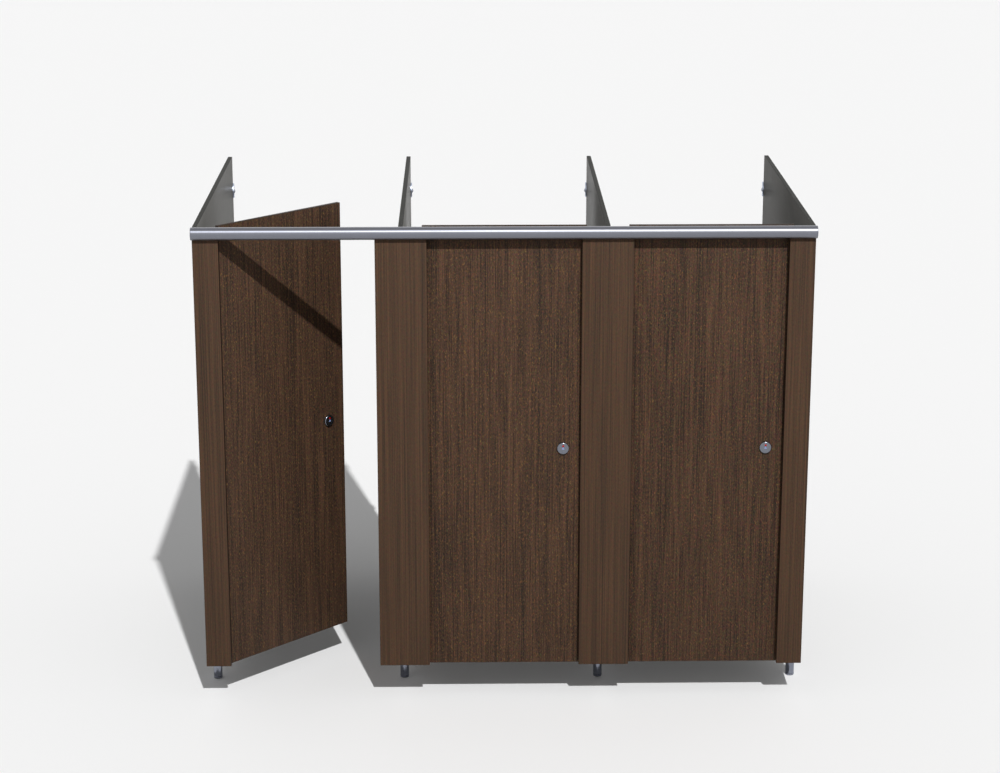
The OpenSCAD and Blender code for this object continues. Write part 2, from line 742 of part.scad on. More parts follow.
// ---- Coat hooks ---------------------------------------------------------------------------------
buffer_t = 10;
buffer_bevel = 4;
hook_post_d = 12;
hook_end_d = 26;
hook_end_t = 6;
hook_foot_t = 4;
module in_hook(i) {
    in_door(i) translate([door_w / 2, door_face, board_top - hook_drop]) point_rear() children();
}
module coat_hook(i) {
    top = hook_len - buffer_t;
    color("silver") in_hook(i) rotate_extrude() polygon([
        [0, 0], [hook_foot_d / 2, 0], [hook_foot_d / 2, hook_foot_t / 2],
        [hook_foot_d / 2 - hook_foot_t / 2, hook_foot_t], [hook_post_d / 2, hook_foot_t],
        [hook_post_d / 2, top - hook_end_t], [hook_end_d / 2, top - hook_end_t / 2],
        [hook_end_d / 2, top], [0, top]
    ]);
}
module hook_buffer(i) {
    r = hook_end_d / 2 - 1;
    color("black") in_hook(i) translate([0, 0, hook_len - buffer_t]) {
        cylinder(r = r, h = buffer_t - buffer_bevel);
        translate([0, 0, buffer_t - buffer_bevel])
            cylinder(r1 = r, r2 = r - buffer_bevel, h = buffer_bevel);
    }
}

partition(0);  // partition_left_end
partition(1);  // partition_left_mid
partition(2);  // partition_right_mid
partition(3);  // partition_right_end
pilaster(0);  // pilaster_left_end
pilaster(1);  // pilaster_left_mid
pilaster(2);  // pilaster_right_mid
pilaster(3);  // pilaster_right_end
headrail_tube();
headrail_caps();
wall_brackets();
bracket_bolts();
corner_angles();
panel_screws();
legs();
hinge_frame_leaves();
hinge_pins();
bolt_keeps();
door_stops();
foot(0, 0);  // foot_front_1
foot(1, 0);  // foot_front_2
foot(2, 0);  // foot_front_3
foot(3, 0);  // foot_front_4
foot(0, 1);  // foot_rear_1
foot(1, 1);  // foot_rear_2
foot(2, 1);  // foot_rear_3
foot(3, 1);  // foot_rear_4
door_panel(0);  // door_panel_left
door_panel(1);  // door_panel_middle
door_panel(2);  // door_panel_right
hinge_leaves(0);  // hinge_leaves_left
hinge_leaves(1);  // hinge_leaves_middle
hinge_leaves(2);  // hinge_leaves_right
door_screws(0);  // door_screws_left
door_screws(1);  // door_screws_middle
door_screws(2);  // door_screws_right
lock_case(0);  // lock_case_left
lock_case(1);  // lock_case_middle
lock_case(2);  // lock_case_right
coat_hook(0);  // coat_hook_left
coat_hook(1);  // coat_hook_middle
coat_hook(2);  // coat_hook_right
hook_buffer(0);  // hook_buffer_left
hook_buffer(1);  // hook_buffer_middle
hook_buffer(2);  // hook_buffer_right
release_disc(0);  // release_disc_left
release_disc(1);  // release_disc_middle
release_disc(2);  // release_disc_right
position_dot(0);  // position_dot_left
position_dot(1);  // position_dot_middle
position_dot(2);  // position_dot_right
lock_spindle(0);  // lock_spindle_left
lock_spindle(1);  // lock_spindle_middle
lock_spindle(2);  // lock_spindle_right
thumb_knob(0);  // thumb_knob_left
thumb_knob(1);  // thumb_knob_middle
thumb_knob(2);  // thumb_knob_right
lock_bolt(0);  // lock_bolt_left
lock_bolt(1);  // lock_bolt_middle
lock_bolt(2);  // lock_bolt_right
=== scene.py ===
# %% [markdown]
# # A bank of three washroom cubicles
#
# Three cubicles stand side by side. Grey partitions run from front to back, dark wood-grain
# pilasters close their front ends, and a round headrail ties the pilasters together at the top.
# Three wood-grain doors swing inwards; the left one stands open by about 45 degrees. This lesson
# dresses the engineering model: it loads the solids as a fixed frame, models the finished look of
# each part in the same place, and gives every part a procedural material.

# %% Load the frame
from math import cos, pi, radians, sin

import bmesh
import bpy
from mathutils import Matrix, Vector


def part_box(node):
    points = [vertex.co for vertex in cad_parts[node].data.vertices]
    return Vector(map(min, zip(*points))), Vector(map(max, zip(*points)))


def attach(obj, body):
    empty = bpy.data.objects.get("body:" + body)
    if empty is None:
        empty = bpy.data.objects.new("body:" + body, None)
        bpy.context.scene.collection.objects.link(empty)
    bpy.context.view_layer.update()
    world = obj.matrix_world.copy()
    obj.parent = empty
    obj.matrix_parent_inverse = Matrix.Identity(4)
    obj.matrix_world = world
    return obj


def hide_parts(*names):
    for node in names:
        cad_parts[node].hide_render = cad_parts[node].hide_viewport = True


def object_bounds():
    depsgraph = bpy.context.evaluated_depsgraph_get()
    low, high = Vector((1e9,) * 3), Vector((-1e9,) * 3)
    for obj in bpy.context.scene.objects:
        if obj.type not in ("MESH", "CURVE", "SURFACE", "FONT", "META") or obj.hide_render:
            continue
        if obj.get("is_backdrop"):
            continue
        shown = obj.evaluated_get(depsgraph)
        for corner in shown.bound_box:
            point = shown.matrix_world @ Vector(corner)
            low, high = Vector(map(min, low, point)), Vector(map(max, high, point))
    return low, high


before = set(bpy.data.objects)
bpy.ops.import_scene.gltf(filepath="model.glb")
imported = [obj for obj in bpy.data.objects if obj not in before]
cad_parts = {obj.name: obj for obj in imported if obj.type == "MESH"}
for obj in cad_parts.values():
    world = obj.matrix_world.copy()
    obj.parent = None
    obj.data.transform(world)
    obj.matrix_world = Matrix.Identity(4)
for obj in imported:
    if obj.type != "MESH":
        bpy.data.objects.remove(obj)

cad_low, cad_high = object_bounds()
SIDES = ("left", "middle", "right")
UPRIGHTS = ("left_end", "left_mid", "right_mid", "right_end")
mm = 0.001
X, Y, UP = Vector((1, 0, 0)), Vector((0, 1, 0)), Vector((0, 0, 1))
OUT = Vector((0, -1, 0))
print("the frame runs from", [round(v, 4) for v in cad_low], "to", [round(v, 4) for v in cad_high])

# %% [markdown]
# ## Small tools for modelling
#
# Everything is modelled with the same few moves as by hand: add a primitive at its size and place,
# select some faces or edges, extrude or bevel them, and join or cut with another shape. An operator
# acts on all that is selected, so each tool first selects one object alone. A finished piece's
# place is kept in its mesh, with the object at the origin, as the frame's own parts are.

# %% Select one object, and move its place into its mesh
def pick(obj):
    bpy.ops.object.select_all(action="DESELECT")
    obj.select_set(True)
    bpy.context.view_layer.objects.active = obj


def settle(name):
    obj = bpy.context.object
    obj.name = obj.data.name = name
    pick(obj)
    bpy.ops.object.transform_apply(location=True, rotation=True, scale=True)
    return obj


def facing(way):
    return Vector(way).to_track_quat("Z", "Y").to_euler()


# %% Two ways to start: a block between two corners, and a rod between two points
def block(name, low, high):
    low, high = Vector(low), Vector(high)
    bpy.ops.mesh.primitive_cube_add(size=1, location=(low + high) / 2, scale=high - low)
    return settle(name)


def rod(name, start, end, radius, sides=48):
    start, end = Vector(start), Vector(end)
    way = end - start
    bpy.ops.mesh.primitive_cylinder_add(
        vertices=sides, radius=radius, depth=way.length,
        location=(start + end) / 2, rotation=facing(way),
    )
    return settle(name)


# %% [markdown]
# By hand you would click the faces or edges to work on. A script picks them by a test instead: by
# where they lie, which way they look, or how sharp they are. Bevelling the sharp edges is the most
# useful case, since no real edge is perfectly sharp and a rounded one catches the light.

# %% Work on some faces or edges in edit mode
SHARP = radians(35)
ALIGNED = 0.99


def near(a, b):
    """Two places, in metres, that are the same to a tenth of a millimetre."""
    return abs(a - b) < 0.1 * mm


def open_mesh(obj, kind, wanted):
    """Edit mode, with only the faces or edges that pass the test selected."""
    pick(obj)
    bpy.ops.object.mode_set(mode="EDIT")
    bpy.ops.mesh.select_mode(type=kind)
    bpy.ops.mesh.select_all(action="DESELECT")
    mesh = bmesh.from_edit_mesh(obj.data)
    for part in mesh.faces if kind == "FACE" else mesh.edges:
        if wanted(part):
            part.select_set(True)
    bmesh.update_edit_mesh(obj.data)


def close_mesh():
    bpy.ops.object.mode_set(mode="OBJECT")


def is_sharp(edge):
    return len(edge.link_faces) == 2 and edge.calc_face_angle() > SHARP


def along(axis):
    """Picks the edges that run along one axis: 0 is X, 1 is Y and 2 is Z."""
    return lambda edge: abs((edge.verts[1].co - edge.verts[0].co).normalized()[axis]) > ALIGNED


def ease(obj, width, segments=2, wanted=is_sharp):
    """Rounds edges, by default every sharp one."""
    open_mesh(obj, "EDGE", wanted)
    bpy.ops.mesh.bevel(offset=width, segments=segments, affect="EDGES", clamp_overlap=True)
    close_mesh()
    return obj


# %% [markdown]
# Holes and slots are cut with a Boolean modifier that is applied at once. The other shape is only a
# tool, so it is removed afterwards. The exact solver is slower than the fast one, but it also copes
# with faces that lie in one plane.

# %% Join another shape to a piece, or cut it away
def combine(obj, tool, way="UNION"):
    pick(obj)
    change = obj.modifiers.new("combine", "BOOLEAN")
    change.operation, change.object, change.solver = way, tool, "EXACT"
    bpy.ops.object.modifier_apply(modifier=change.name)
    bpy.data.objects.remove(tool)
    return obj


def cut(obj, tool):
    return combine(obj, tool, "DIFFERENCE")


def holes(obj, radius, spots, way, deep):
    """Drills a round hole at each spot, along the way given."""
    for spot in spots:
        middle = Vector(spot)
        cut(obj, rod("drill", middle - way * deep, middle + way * deep, radius, 24))
    return obj


# %% [markdown]
# A turned piece, such as a knob or a foot, is drawn as a list of rings, each a height and a radius.
# A disc is added at the first height, then pulled out and resized ring by ring. Spinning a profile
# would do as well, but this way closes both ends without a pole to mend.

# %% A turned piece
def turned(name, foot, way, profile, sides=48):
    foot, way = Vector(foot), Vector(way).normalized()
    height, radius = profile[0]
    bpy.ops.mesh.primitive_circle_add(
        vertices=sides, radius=radius, fill_type="NGON",
        location=foot + way * height, rotation=facing(way),
    )
    obj = settle(name)
    open_mesh(obj, "FACE", lambda face: True)
    for h, r in profile[1:]:
        bpy.ops.mesh.extrude_region_move(TRANSFORM_OT_translate={"value": way * (h - height)})
        bpy.ops.transform.resize(value=(r / radius,) * 3, center_override=foot + way * h)
        height, radius = h, r
    bpy.ops.mesh.select_all(action="SELECT")
    bpy.ops.mesh.normals_make_consistent(inside=False)
    close_mesh()
    return obj


def rounded(height, radius, size, steps=4):
    """The rings that round the outer rim of a turned piece at its top."""
    angles = [step * pi / 2 / steps for step in range(steps + 1)]
    return [(height - size + size * sin(a), radius - size + size * cos(a)) for a in angles]


def in_mm(*rings):
    return [(h * mm, r * mm) for h, r in rings]


# %% Copies, each with its own mesh, and one object out of several
def copy_by(obj, name, matrix):
    new = obj.copy()
    new.data = obj.data.copy()
    new.name = new.data.name = name
    new.data.transform(matrix)
    bpy.context.collection.objects.link(new)
    return new


def gather(name, objs):
    bpy.ops.object.select_all(action="DESELECT")
    for obj in objs:
        obj.select_set(True)
    bpy.context.view_layer.objects.active = objs[0]
    if len(objs) > 1:
        bpy.ops.object.join()
    objs[0].name = objs[0].data.name = name
    return objs[0]


# %% [markdown]
# A piece is finished when it has its smooth shading and material, rides on a body of the frame,
# and hides the plain solid that it stands for.

# %% Finish a piece
def dress(obj, first, second=None, where=None):
    """The first material all over, and the second on the faces that pass the test."""
    obj.data.materials.clear()
    obj.data.materials.append(first)
    if second:
        obj.data.materials.append(second)
        for face in obj.data.polygons:
            face.material_index = 1 if where(face) else 0


def finish(obj, material, slot, body, *nodes, smooth=32):
    pick(obj)
    bpy.ops.object.shade_smooth_by_angle(angle=radians(smooth))
    if material:
        dress(obj, material)
    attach(obj, body)
    if nodes:
        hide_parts(*nodes)
    print(obj.name, "has", len(obj.data.polygons), "faces and rides on", body)
    return obj


# %% [markdown]
# ## Materials
#
# All materials are procedural. A noise pattern that is stretched along one direction gives grain or
# brushed lines, and it also drives roughness and a very shallow bump, so the surface answers to
# light as the eye expects. Patterns read Object coordinates in metres, so a grain line that is 2 mm
# wide here is 2 mm wide on the real board.

# %% Small tools for shader nodes
def new_material(name):
    material = bpy.data.materials.new(name)
    material.use_nodes = True
    material.node_tree.nodes.clear()
    return material


def feed(material, target, inputs):
    """Fills a node's inputs; each may be a number, a colour, or another node's output to link."""
    for key, value in inputs.items():
        if isinstance(value, bpy.types.NodeSocket):
            material.node_tree.links.new(value, target.inputs[key])
        else:
            target.inputs[key].default_value = value


def node(material, kind, inputs=None, **settings):
    made = material.node_tree.nodes.new(kind)
    for key, value in settings.items():
        setattr(made, key, value)
    feed(material, made, inputs or {})
    return made


def shader(material, **inputs):
    """The main shader and the output. Names are written with _ for a space."""
    inputs = {key.replace("_", " "): value for key, value in inputs.items()}
    body = node(material, "ShaderNodeBsdfPrincipled", inputs)
    node(material, "ShaderNodeOutputMaterial", {"Surface": body.outputs[0]})
    return body


def place(material, scale, turn=0.0, shift=(0, 0, 0)):
    """Object coordinates, turned about Z and shifted, then stretched."""
    coords = node(material, "ShaderNodeTexCoord")
    moved = node(
        material, "ShaderNodeMapping",
        {"Vector": coords.outputs["Object"], "Rotation": (0, 0, turn), "Location": shift},
    ).outputs[0]
    return node(material, "ShaderNodeMapping", {"Vector": moved, "Scale": scale}).outputs[0]


def noise(material, where, detail=4.0, rough=0.5, scale=1.0, twist=0.0, kind="Fac"):
    inputs = {"Vector": where, "Scale": scale, "Detail": detail, "Roughness": rough}
    made = node(material, "ShaderNodeTexNoise", {**inputs, "Distortion": twist})
    return made.outputs[kind]


def spread(material, value, low, high, new_low=0.0, new_high=1.0):
    """Stretches the part of a pattern between low and high, and flattens the rest."""
    inputs = {"Value": value, "From Min": low, "From Max": high, "To Min": new_low}
    return node(material, "ShaderNodeMapRange", {**inputs, "To Max": new_high}).outputs[0]


def mix(material, factor, first, second, way="MIX"):
    made = node(material, "ShaderNodeMix", data_type="RGBA", blend_type=way)
    feed(material, made, {0: factor, 6: first, 7: second})
    return made.outputs[2]


def sums(material, first, second, way="ADD"):
    return node(material, "ShaderNodeMath", {0: first, 1: second}, operation=way).outputs[0]


def layers(material, *parts):
    """Patterns added up, each with its own weight."""
    total = None
    for pattern, weight in parts:
        part = sums(material, pattern, weight, "MULTIPLY")
        total = part if total is None else sums(material, total, part)
    return total


def bump(material, height, distance):
    inputs = {"Height": height, "Distance": distance, "Strength": 1.0}
    return node(material, "ShaderNodeBump", inputs).outputs[0]


def coat(material, colour, pattern, smooth, rough, shine, relief, depth):
    """A finish that isn't metal: one pattern moves its roughness, and one is its relief."""
    shader(
        material, Base_Color=colour, Roughness=spread(material, pattern, 0.3, 0.7, smooth, rough),
        Specular_IOR_Level=shine, Normal=bump(material, relief, depth),
    )
    return material


def grain_noise(material, turn, shift):
    """Noise for one board: how many marks to the metre it has across and along the grain."""
    def grained(across, up, detail=2.0, rough=0.6, **more):
        where = place(material, (across, across, up), turn, shift)
        return noise(material, where, detail, rough, **more)
    return grained


def paint(red, green, blue):
    """A colour picked as the eye sees it, 0 to 255, turned into the linear values of a shader."""
    def linear(v):
        v = v / 255
        return v / 12.92 if v <= 0.04045 else ((v + 0.055) / 1.055) ** 2.4
    return (linear(red), linear(green), linear(blue), 1.0)


# %% [markdown]
# ### Door laminate
#
# The doors are faced with a dark printed wood grain: long upright streaks, thin dark lines, and a
# lively speckle in which single points lean to red, gold or green. Each layer is one stretched
# noise: bands about 40 mm wide, streaks of 5 mm, grain of 3 mm. Lines and flecks are noise cut off
# at a high level, so that only thin marks are left. The speckle is the noise's own colour output
# laid over the wood as soft light, which moves red, green and blue each a little on its own. Each
# board gets its own shift, so no two boards show the same grain, and the open door's pattern is
# turned with it.

# %% The door laminate
def door_laminate(name, turn, shift):
    m = new_material(name)
    grained = grain_noise(m, turn, shift)
    bands = spread(m, grained(26, 0.35, 2.0, 0.55), 0.32, 0.68)
    streaks = spread(m, grained(190, 3.2, 3.0, twist=0.5), 0.34, 0.66)
    grain = spread(m, grained(300, 105), 0.34, 0.66)
    fibres = grained(900, 30, 3.0)
    lines = spread(m, grained(300, 1.8, 1.0, 0.5, twist=0.6), 0.57, 0.66)
    flecks = spread(m, grained(260, 95, 1.5), 0.60, 0.70)
    tint = grained(110, 70, 2.0, 0.5)
    specks = grained(240, 130, 1.0, 0.5, kind="Color")
    tone = layers(m, (bands, 0.16), (streaks, 0.42), (grain, 0.42))
    wood = mix(m, spread(m, tone, 0.20, 0.80), paint(41, 34, 29), paint(95, 69, 52))
    fleck = mix(m, spread(m, tint, 0.40, 0.46), paint(120, 76, 50), paint(132, 100, 60))
    fleck = mix(m, spread(m, tint, 0.58, 0.64), fleck, paint(85, 91, 60))
    wood = mix(m, sums(m, flecks, 0.65, "MULTIPLY"), wood, fleck)
    wood = mix(m, sums(m, lines, 0.70, "MULTIPLY"), wood, paint(36, 28, 23))
    wood = mix(m, 0.52, wood, specks, "SOFT_LIGHT")
    relief = sums(m, fibres, sums(m, lines, 0.7, "MULTIPLY"), "SUBTRACT")
    return coat(m, wood, fibres, 0.48, 0.60, 0.12, relief, 0.06 * mm)


# %% [markdown]
# ### Pilaster laminate
#
# The pilasters are faced in the same dark wood, but calmer: straight, fine streaks that run almost
# the full height, and little speckle. The same noises do it, stretched much further along Z.

# %% The pilaster laminate
def pilaster_laminate(name, shift):
    m = new_material(name)
    grained = grain_noise(m, 0.0, shift)
    bands = spread(m, grained(36, 0.10, 2.0, 0.5), 0.32, 0.68)
    streaks = spread(m, grained(150, 0.4, 1.0, 0.5), 0.34, 0.66)
    grain = spread(m, grained(420, 1.8), 0.34, 0.66)
    points = spread(m, grained(300, 105), 0.34, 0.66)
    fibres = grained(900, 20, 3.0)
    specks = grained(260, 120, 1.0, 0.5, kind="Color")
    tone = layers(m, (bands, 0.14), (streaks, 0.30), (grain, 0.52), (points, 0.20))
    wood = mix(m, spread(m, tone, 0.22, 0.94), paint(57, 45, 36), paint(91, 67, 50))
    wood = mix(m, 0.28, wood, specks, "SOFT_LIGHT")
    return coat(m, wood, fibres, 0.48, 0.60, 0.12, fibres, 0.04 * mm)


# %% [markdown]
# ### Grey laminate and the dark board edges
#
# The partitions are plain mid grey with the slight pearl texture of cleaned-down laminate. Every
# board shows a dark core at its edges, where the facing stops and the saw cut was only eased. Wipe
# marks are a very large soft noise that changes the roughness and hardly touches the colour.

# %% Grey laminate and board edges
def grey_laminate():
    m = new_material("grey_laminate")
    pearl = noise(m, place(m, (700, 700, 700)), 2.0, 0.6)
    wipes = noise(m, place(m, (3.2, 3.2, 5.0)), 5.0, 0.6, twist=0.4)
    grey = mix(m, spread(m, wipes, 0.30, 0.75), paint(133, 132, 129), paint(143, 142, 139))
    grey = mix(m, spread(m, pearl, 0.35, 0.65, 0.0, 0.35), grey, paint(121, 120, 117))
    return coat(m, grey, wipes, 0.16, 0.26, 0.0003, pearl, 0.05 * mm)


def board_edge(name, dark, light, worn, shine):
    m = new_material(name)
    plies = noise(m, place(m, (350, 350, 350)), 3.0, 0.6)
    rubbed = noise(m, place(m, (9, 9, 9)), 4.0, 0.6)
    edge = mix(m, spread(m, plies, 0.35, 0.65), dark, light)
    edge = mix(m, spread(m, rubbed, 0.55, 0.75, 0.0, 0.4), edge, worn)
    return coat(m, edge, plies, 0.42, 0.58, shine, plies, 0.04 * mm)


GREY = grey_laminate()
GREY_EDGE = board_edge(
    "grey_board_edge", paint(66, 66, 64), paint(75, 75, 73), paint(90, 89, 87), 0.004
)
WOOD_EDGE = board_edge(
    "wood_board_edge", paint(40, 30, 24), paint(54, 41, 32), paint(72, 55, 43), 0.06
)
print("made", GREY.name, GREY_EDGE.name, "and", WOOD_EDGE.name)

# %% [markdown]
# ### Metals
#
# Polished metal has only faint marks, and cast, pressed or zinc-plated fittings are satin. Each is
# one material with its own colour, marks and range of roughness, so one function makes them all.
# The headrail is ground tube: its scratches run around it, so its shine is drawn out along it. That
# takes an anisotropic shine whose tangent is radial about X, and a clear lacquer gives the soft
# white line on top.

# %% Metals
def metal(name, colour, lines, smooth, rough, depth, **more):
    m = new_material(name)
    if more:
        more["Tangent"] = node(m, "ShaderNodeTangent", direction_type="RADIAL", axis="X").outputs[0]
    marks = noise(m, place(m, lines), 4.0, 0.65)
    smears = noise(m, place(m, (14, 14, 14)), 3.0, 0.6)
    dull = tuple(0.86 * v for v in colour[:3]) + (1.0,)
    shade = mix(m, spread(m, marks, 0.35, 0.65), colour, dull)
    haze = spread(m, smears, 0.4, 0.8, 0.0, 0.06)
    haze = sums(m, spread(m, marks, 0.3, 0.7, smooth, rough), haze)
    shader(m, Base_Color=shade, Metallic=1.0, Roughness=haze, Normal=bump(m, marks, depth), **more)
    return m


RAIL = metal(
    "ground_rail", paint(107, 110, 124), (1400, 60, 60), 0.42, 0.48, 0.002 * mm,
    Anisotropic=0.78, Anisotropic_Rotation=0.25, Coat_Weight=1.0, Coat_IOR=1.9, Coat_Roughness=0.36,
)
LEG = metal("polished_steel", paint(138, 142, 154), (240, 240, 30), 0.10, 0.18, 0.004 * mm)
BRIGHT = metal("bolt_chrome", paint(168, 172, 182), (500, 500, 500), 0.26, 0.34, 0.003 * mm)
DISC = metal("disc_chrome", paint(124, 127, 136), (420, 420, 420), 0.20, 0.26, 0.003 * mm)
CHROME = metal("satin_chrome", paint(172, 176, 184), (420, 420, 420), 0.16, 0.26, 0.006 * mm)
ZINC = metal("bracket_zinc", paint(198, 206, 224), (420, 420, 420), 0.34, 0.44, 0.006 * mm)
STEEL = metal("pressed_steel", paint(160, 161, 163), (300, 300, 300), 0.30, 0.44, 0.012 * mm)
SCREW = metal("screw_steel", paint(182, 183, 186), (800, 800, 800), 0.22, 0.36, 0.008 * mm)

# %% [markdown]
# ### Enamel and rubber
#
# The red dots and the pale key recesses are smooth enamel, and the stops, buffers and soles are
# black rubber, which is rougher and a little grainy. The pale enamel's light blue is partly a
# painted reflection: it is lifted to stand for a bright reflection in the key recess. None of
# them is metal, so they share a second small recipe: one fine noise for the colour, the
# roughness and the bump.

# %% Enamel and rubber
def matt(name, dark, light, size, smooth, rough, depth):
    m = new_material(name)
    grain = noise(m, place(m, (size, size, size)), 4.0, 0.6)
    colour = mix(m, spread(m, grain, 0.35, 0.65), dark, light)
    return coat(m, colour, grain, smooth, rough, 0.2, grain, depth)


RED = matt("red_enamel", paint(170, 6, 8), paint(182, 12, 12), 500, 0.30, 0.42, 0.005 * mm)
# Painted reflection in part: the pale enamel is lighter and bluer than a plain mark, to stand for a
# bright reflection in the recess.
PALE_AND_REFLECTION = matt("pale_enamel_painted_reflection", paint(140, 156, 200), paint(150, 166, 210), 600, 0.30, 0.42, 0.005 * mm)
RUBBER = matt("black_rubber", paint(26, 26, 27), paint(38, 38, 38), 900, 0.62, 0.80, 0.03 * mm)
print("made", len(bpy.data.materials), "materials so far")

# %% [markdown]
# ## Boards
#
# A board is a block with its edges eased by almost a millimetre, which is what catches the light
# along a real one. Its two large faces get the laminate and all that is left gets the dark edge. A
# partition also has a notch at its top front corner that lets the headrail through, cut before the
# edges are eased, so that the notch is eased too.

# %% Partitions
def face_board(obj, laminate, across, edge):
    """The laminate goes on the faces that look along the board's thickness."""
    dress(obj, laminate, edge, lambda face: abs(face.normal.dot(across)) <= ALIGNED)


ROUND = 0.9 * mm
GAP = 0.3 * mm
rail_low, rail_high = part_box("headrail_tube")
for place_name in UPRIGHTS:
    low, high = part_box("partition_" + place_name)
    board = block("partition_board_" + place_name, low, high)
    notch_low = (low.x - mm, low.y - mm, rail_low.z - GAP)
    cut(board, block("notch", notch_low, (high.x + mm, rail_high.y + GAP, high.z + mm)))
    ease(board, ROUND)
    face_board(board, GREY, X, GREY_EDGE)
    finish(board, None, "partition_grey", "bank", "partition_" + place_name)

# %% [markdown]
# A pilaster is the same kind of block, set across a partition's front end. Its laminate is made
# anew for each, with its own shift, as four boards from one shop would still differ in their grain.

# %% Pilasters
for number, place_name in enumerate(UPRIGHTS):
    low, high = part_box("pilaster_" + place_name)
    board = ease(block("pilaster_board_" + place_name, low, high), ROUND)
    shift = (0.37 * number, 0.11, 1.9 * number)
    face_board(board, pilaster_laminate("pilaster_laminate_" + place_name, shift), OUT, WOOD_EDGE)
    finish(board, None, "pilaster_wood", "bank", "pilaster_" + place_name)

# %% [markdown]
# ## Doors
#
# The three doors and all that is on them are alike, so everything is modelled once on the middle
# door, which is shut, and handed to the other two bays. The left copy is also turned about its
# hinge's axis, because that door stands open at rest. The axis is that of the hinge pins.

# %% Hand a piece of the middle door to all three doors
def centre(name):
    """The middle of a node's box."""
    low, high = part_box(name)
    return (low + high) / 2


BAY = (rail_high.x - rail_low.x) / 3
pins = centre("hinge_pins")
hinge = Vector((pins.x - BAY, pins.y, 0))
OPEN = radians(45.5)
TO_BAY = {
    "left": Matrix.Translation(hinge) @ Matrix.Rotation(OPEN, 4, "Z")
    @ Matrix.Translation(-hinge) @ Matrix.Translation((-BAY, 0, 0)),
    "middle": Matrix.Identity(4),
    "right": Matrix.Translation((BAY, 0, 0)),
}
print("hinge axis of the left door", [round(v, 5) for v in hinge], "bay", round(BAY, 5))


def to_doors(obj, stem, material, slot, body, *nodes, smooth=32):
    made = []
    for side in SIDES:
        new = copy_by(obj, stem + "_" + side, TO_BAY[side])
        hidden = [name + "_" + side for name in nodes]
        made.append(finish(new, material, slot, body + "_" + side, *hidden, smooth=smooth))
    bpy.data.objects.remove(obj)
    return made


# %% [markdown]
# A door is a board with one bore for the lock's spindle, drilled before the copies are made. The
# laminate comes last, because its two faces are found by the way that each copy looks.

# %% Door boards
BORE_R = 5 * mm
lock = centre("lock_spindle_middle")
door_low, door_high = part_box("door_panel_middle")
leaf = ease(block("door", door_low, door_high), ROUND)
bore_ends = [(lock.x, y, lock.z) for y in (door_low.y - mm, door_high.y + mm)]
cut(leaf, rod("bore", *bore_ends, BORE_R))
doors = to_doors(leaf, "door_board", None, "door_wood", "door", "door_panel")
for number, (side, board) in enumerate(zip(SIDES, doors)):
    turn = -OPEN if side == "left" else 0.0
    shift = (0.83 * number, 0.29 * number, 2.3 * number)
    wood = door_laminate("door_laminate_" + side, turn, shift)
    face_board(board, wood, TO_BAY[side].to_3x3() @ OUT, WOOD_EDGE)

# %% [markdown]
# ## Headrail
#
# The rail is a round tube that the pilasters' tops reach into from below. It starts as a cylinder,
# loses its ends, gets its thickness from a Solidify modifier, and is then cut where each pilaster
# enters. Each end has a cap with a rounded rim, turned like a knob.

# %% Headrail
WALL = 2 * mm
radius = (rail_high.z - rail_low.z) / 2
_, axis_y, axis_z = centre("headrail_tube")
tube = rod("headrail", (rail_low.x, axis_y, axis_z), (rail_high.x, axis_y, axis_z), radius, 128)
open_mesh(tube, "FACE", lambda face: abs(face.normal.x) > ALIGNED)
bpy.ops.mesh.delete(type="FACE")
close_mesh()
pick(tube)
shell = tube.modifiers.new("thickness", "SOLIDIFY")
shell.thickness, shell.offset = WALL, -1
bpy.ops.object.modifier_apply(modifier=shell.name)
entries = [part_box("pilaster_" + name) for name in UPRIGHTS]


def entry(low, high):
    """The room that a pilaster's top needs in the rail."""
    corner = (high.x + GAP, high.y + GAP, high.z + GAP)
    return block("entry", (low.x - GAP, low.y - GAP, low.z), corner)


for low, high in entries:
    cut(tube, entry(low, high))
finish(tube, RAIL, "rail_metal", "bank", "headrail_tube")

# %% End caps
cap_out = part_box("headrail_caps")[1].x - rail_high.x
PLUG, CAP_ROUND, DISH = 15 * mm, 1.5 * mm, 0.3 * mm
caps = []
for way, end, (low, high) in ((-1, rail_low.x, entries[0]), (1, rail_high.x, entries[-1])):
    plug = radius - WALL - GAP
    profile = [(-PLUG, plug - mm), (-PLUG + mm, plug), (0.0, plug), (0.02 * mm, radius - 0.4 * mm)]
    profile += [(0.4 * mm, radius)] + rounded(cap_out, radius, CAP_ROUND)
    profile += [(cap_out, radius - 4 * mm), (cap_out - DISH, radius - 4.4 * mm)]
    profile += [(cap_out - DISH, mm)]
    cap = turned("cap", (end, axis_y, axis_z), (way, 0, 0), profile, 96)
    caps.append(cut(cap, entry(low, high)))
finish(gather("headrail_end_caps", caps), RAIL, "rail_metal", "bank", "headrail_caps")
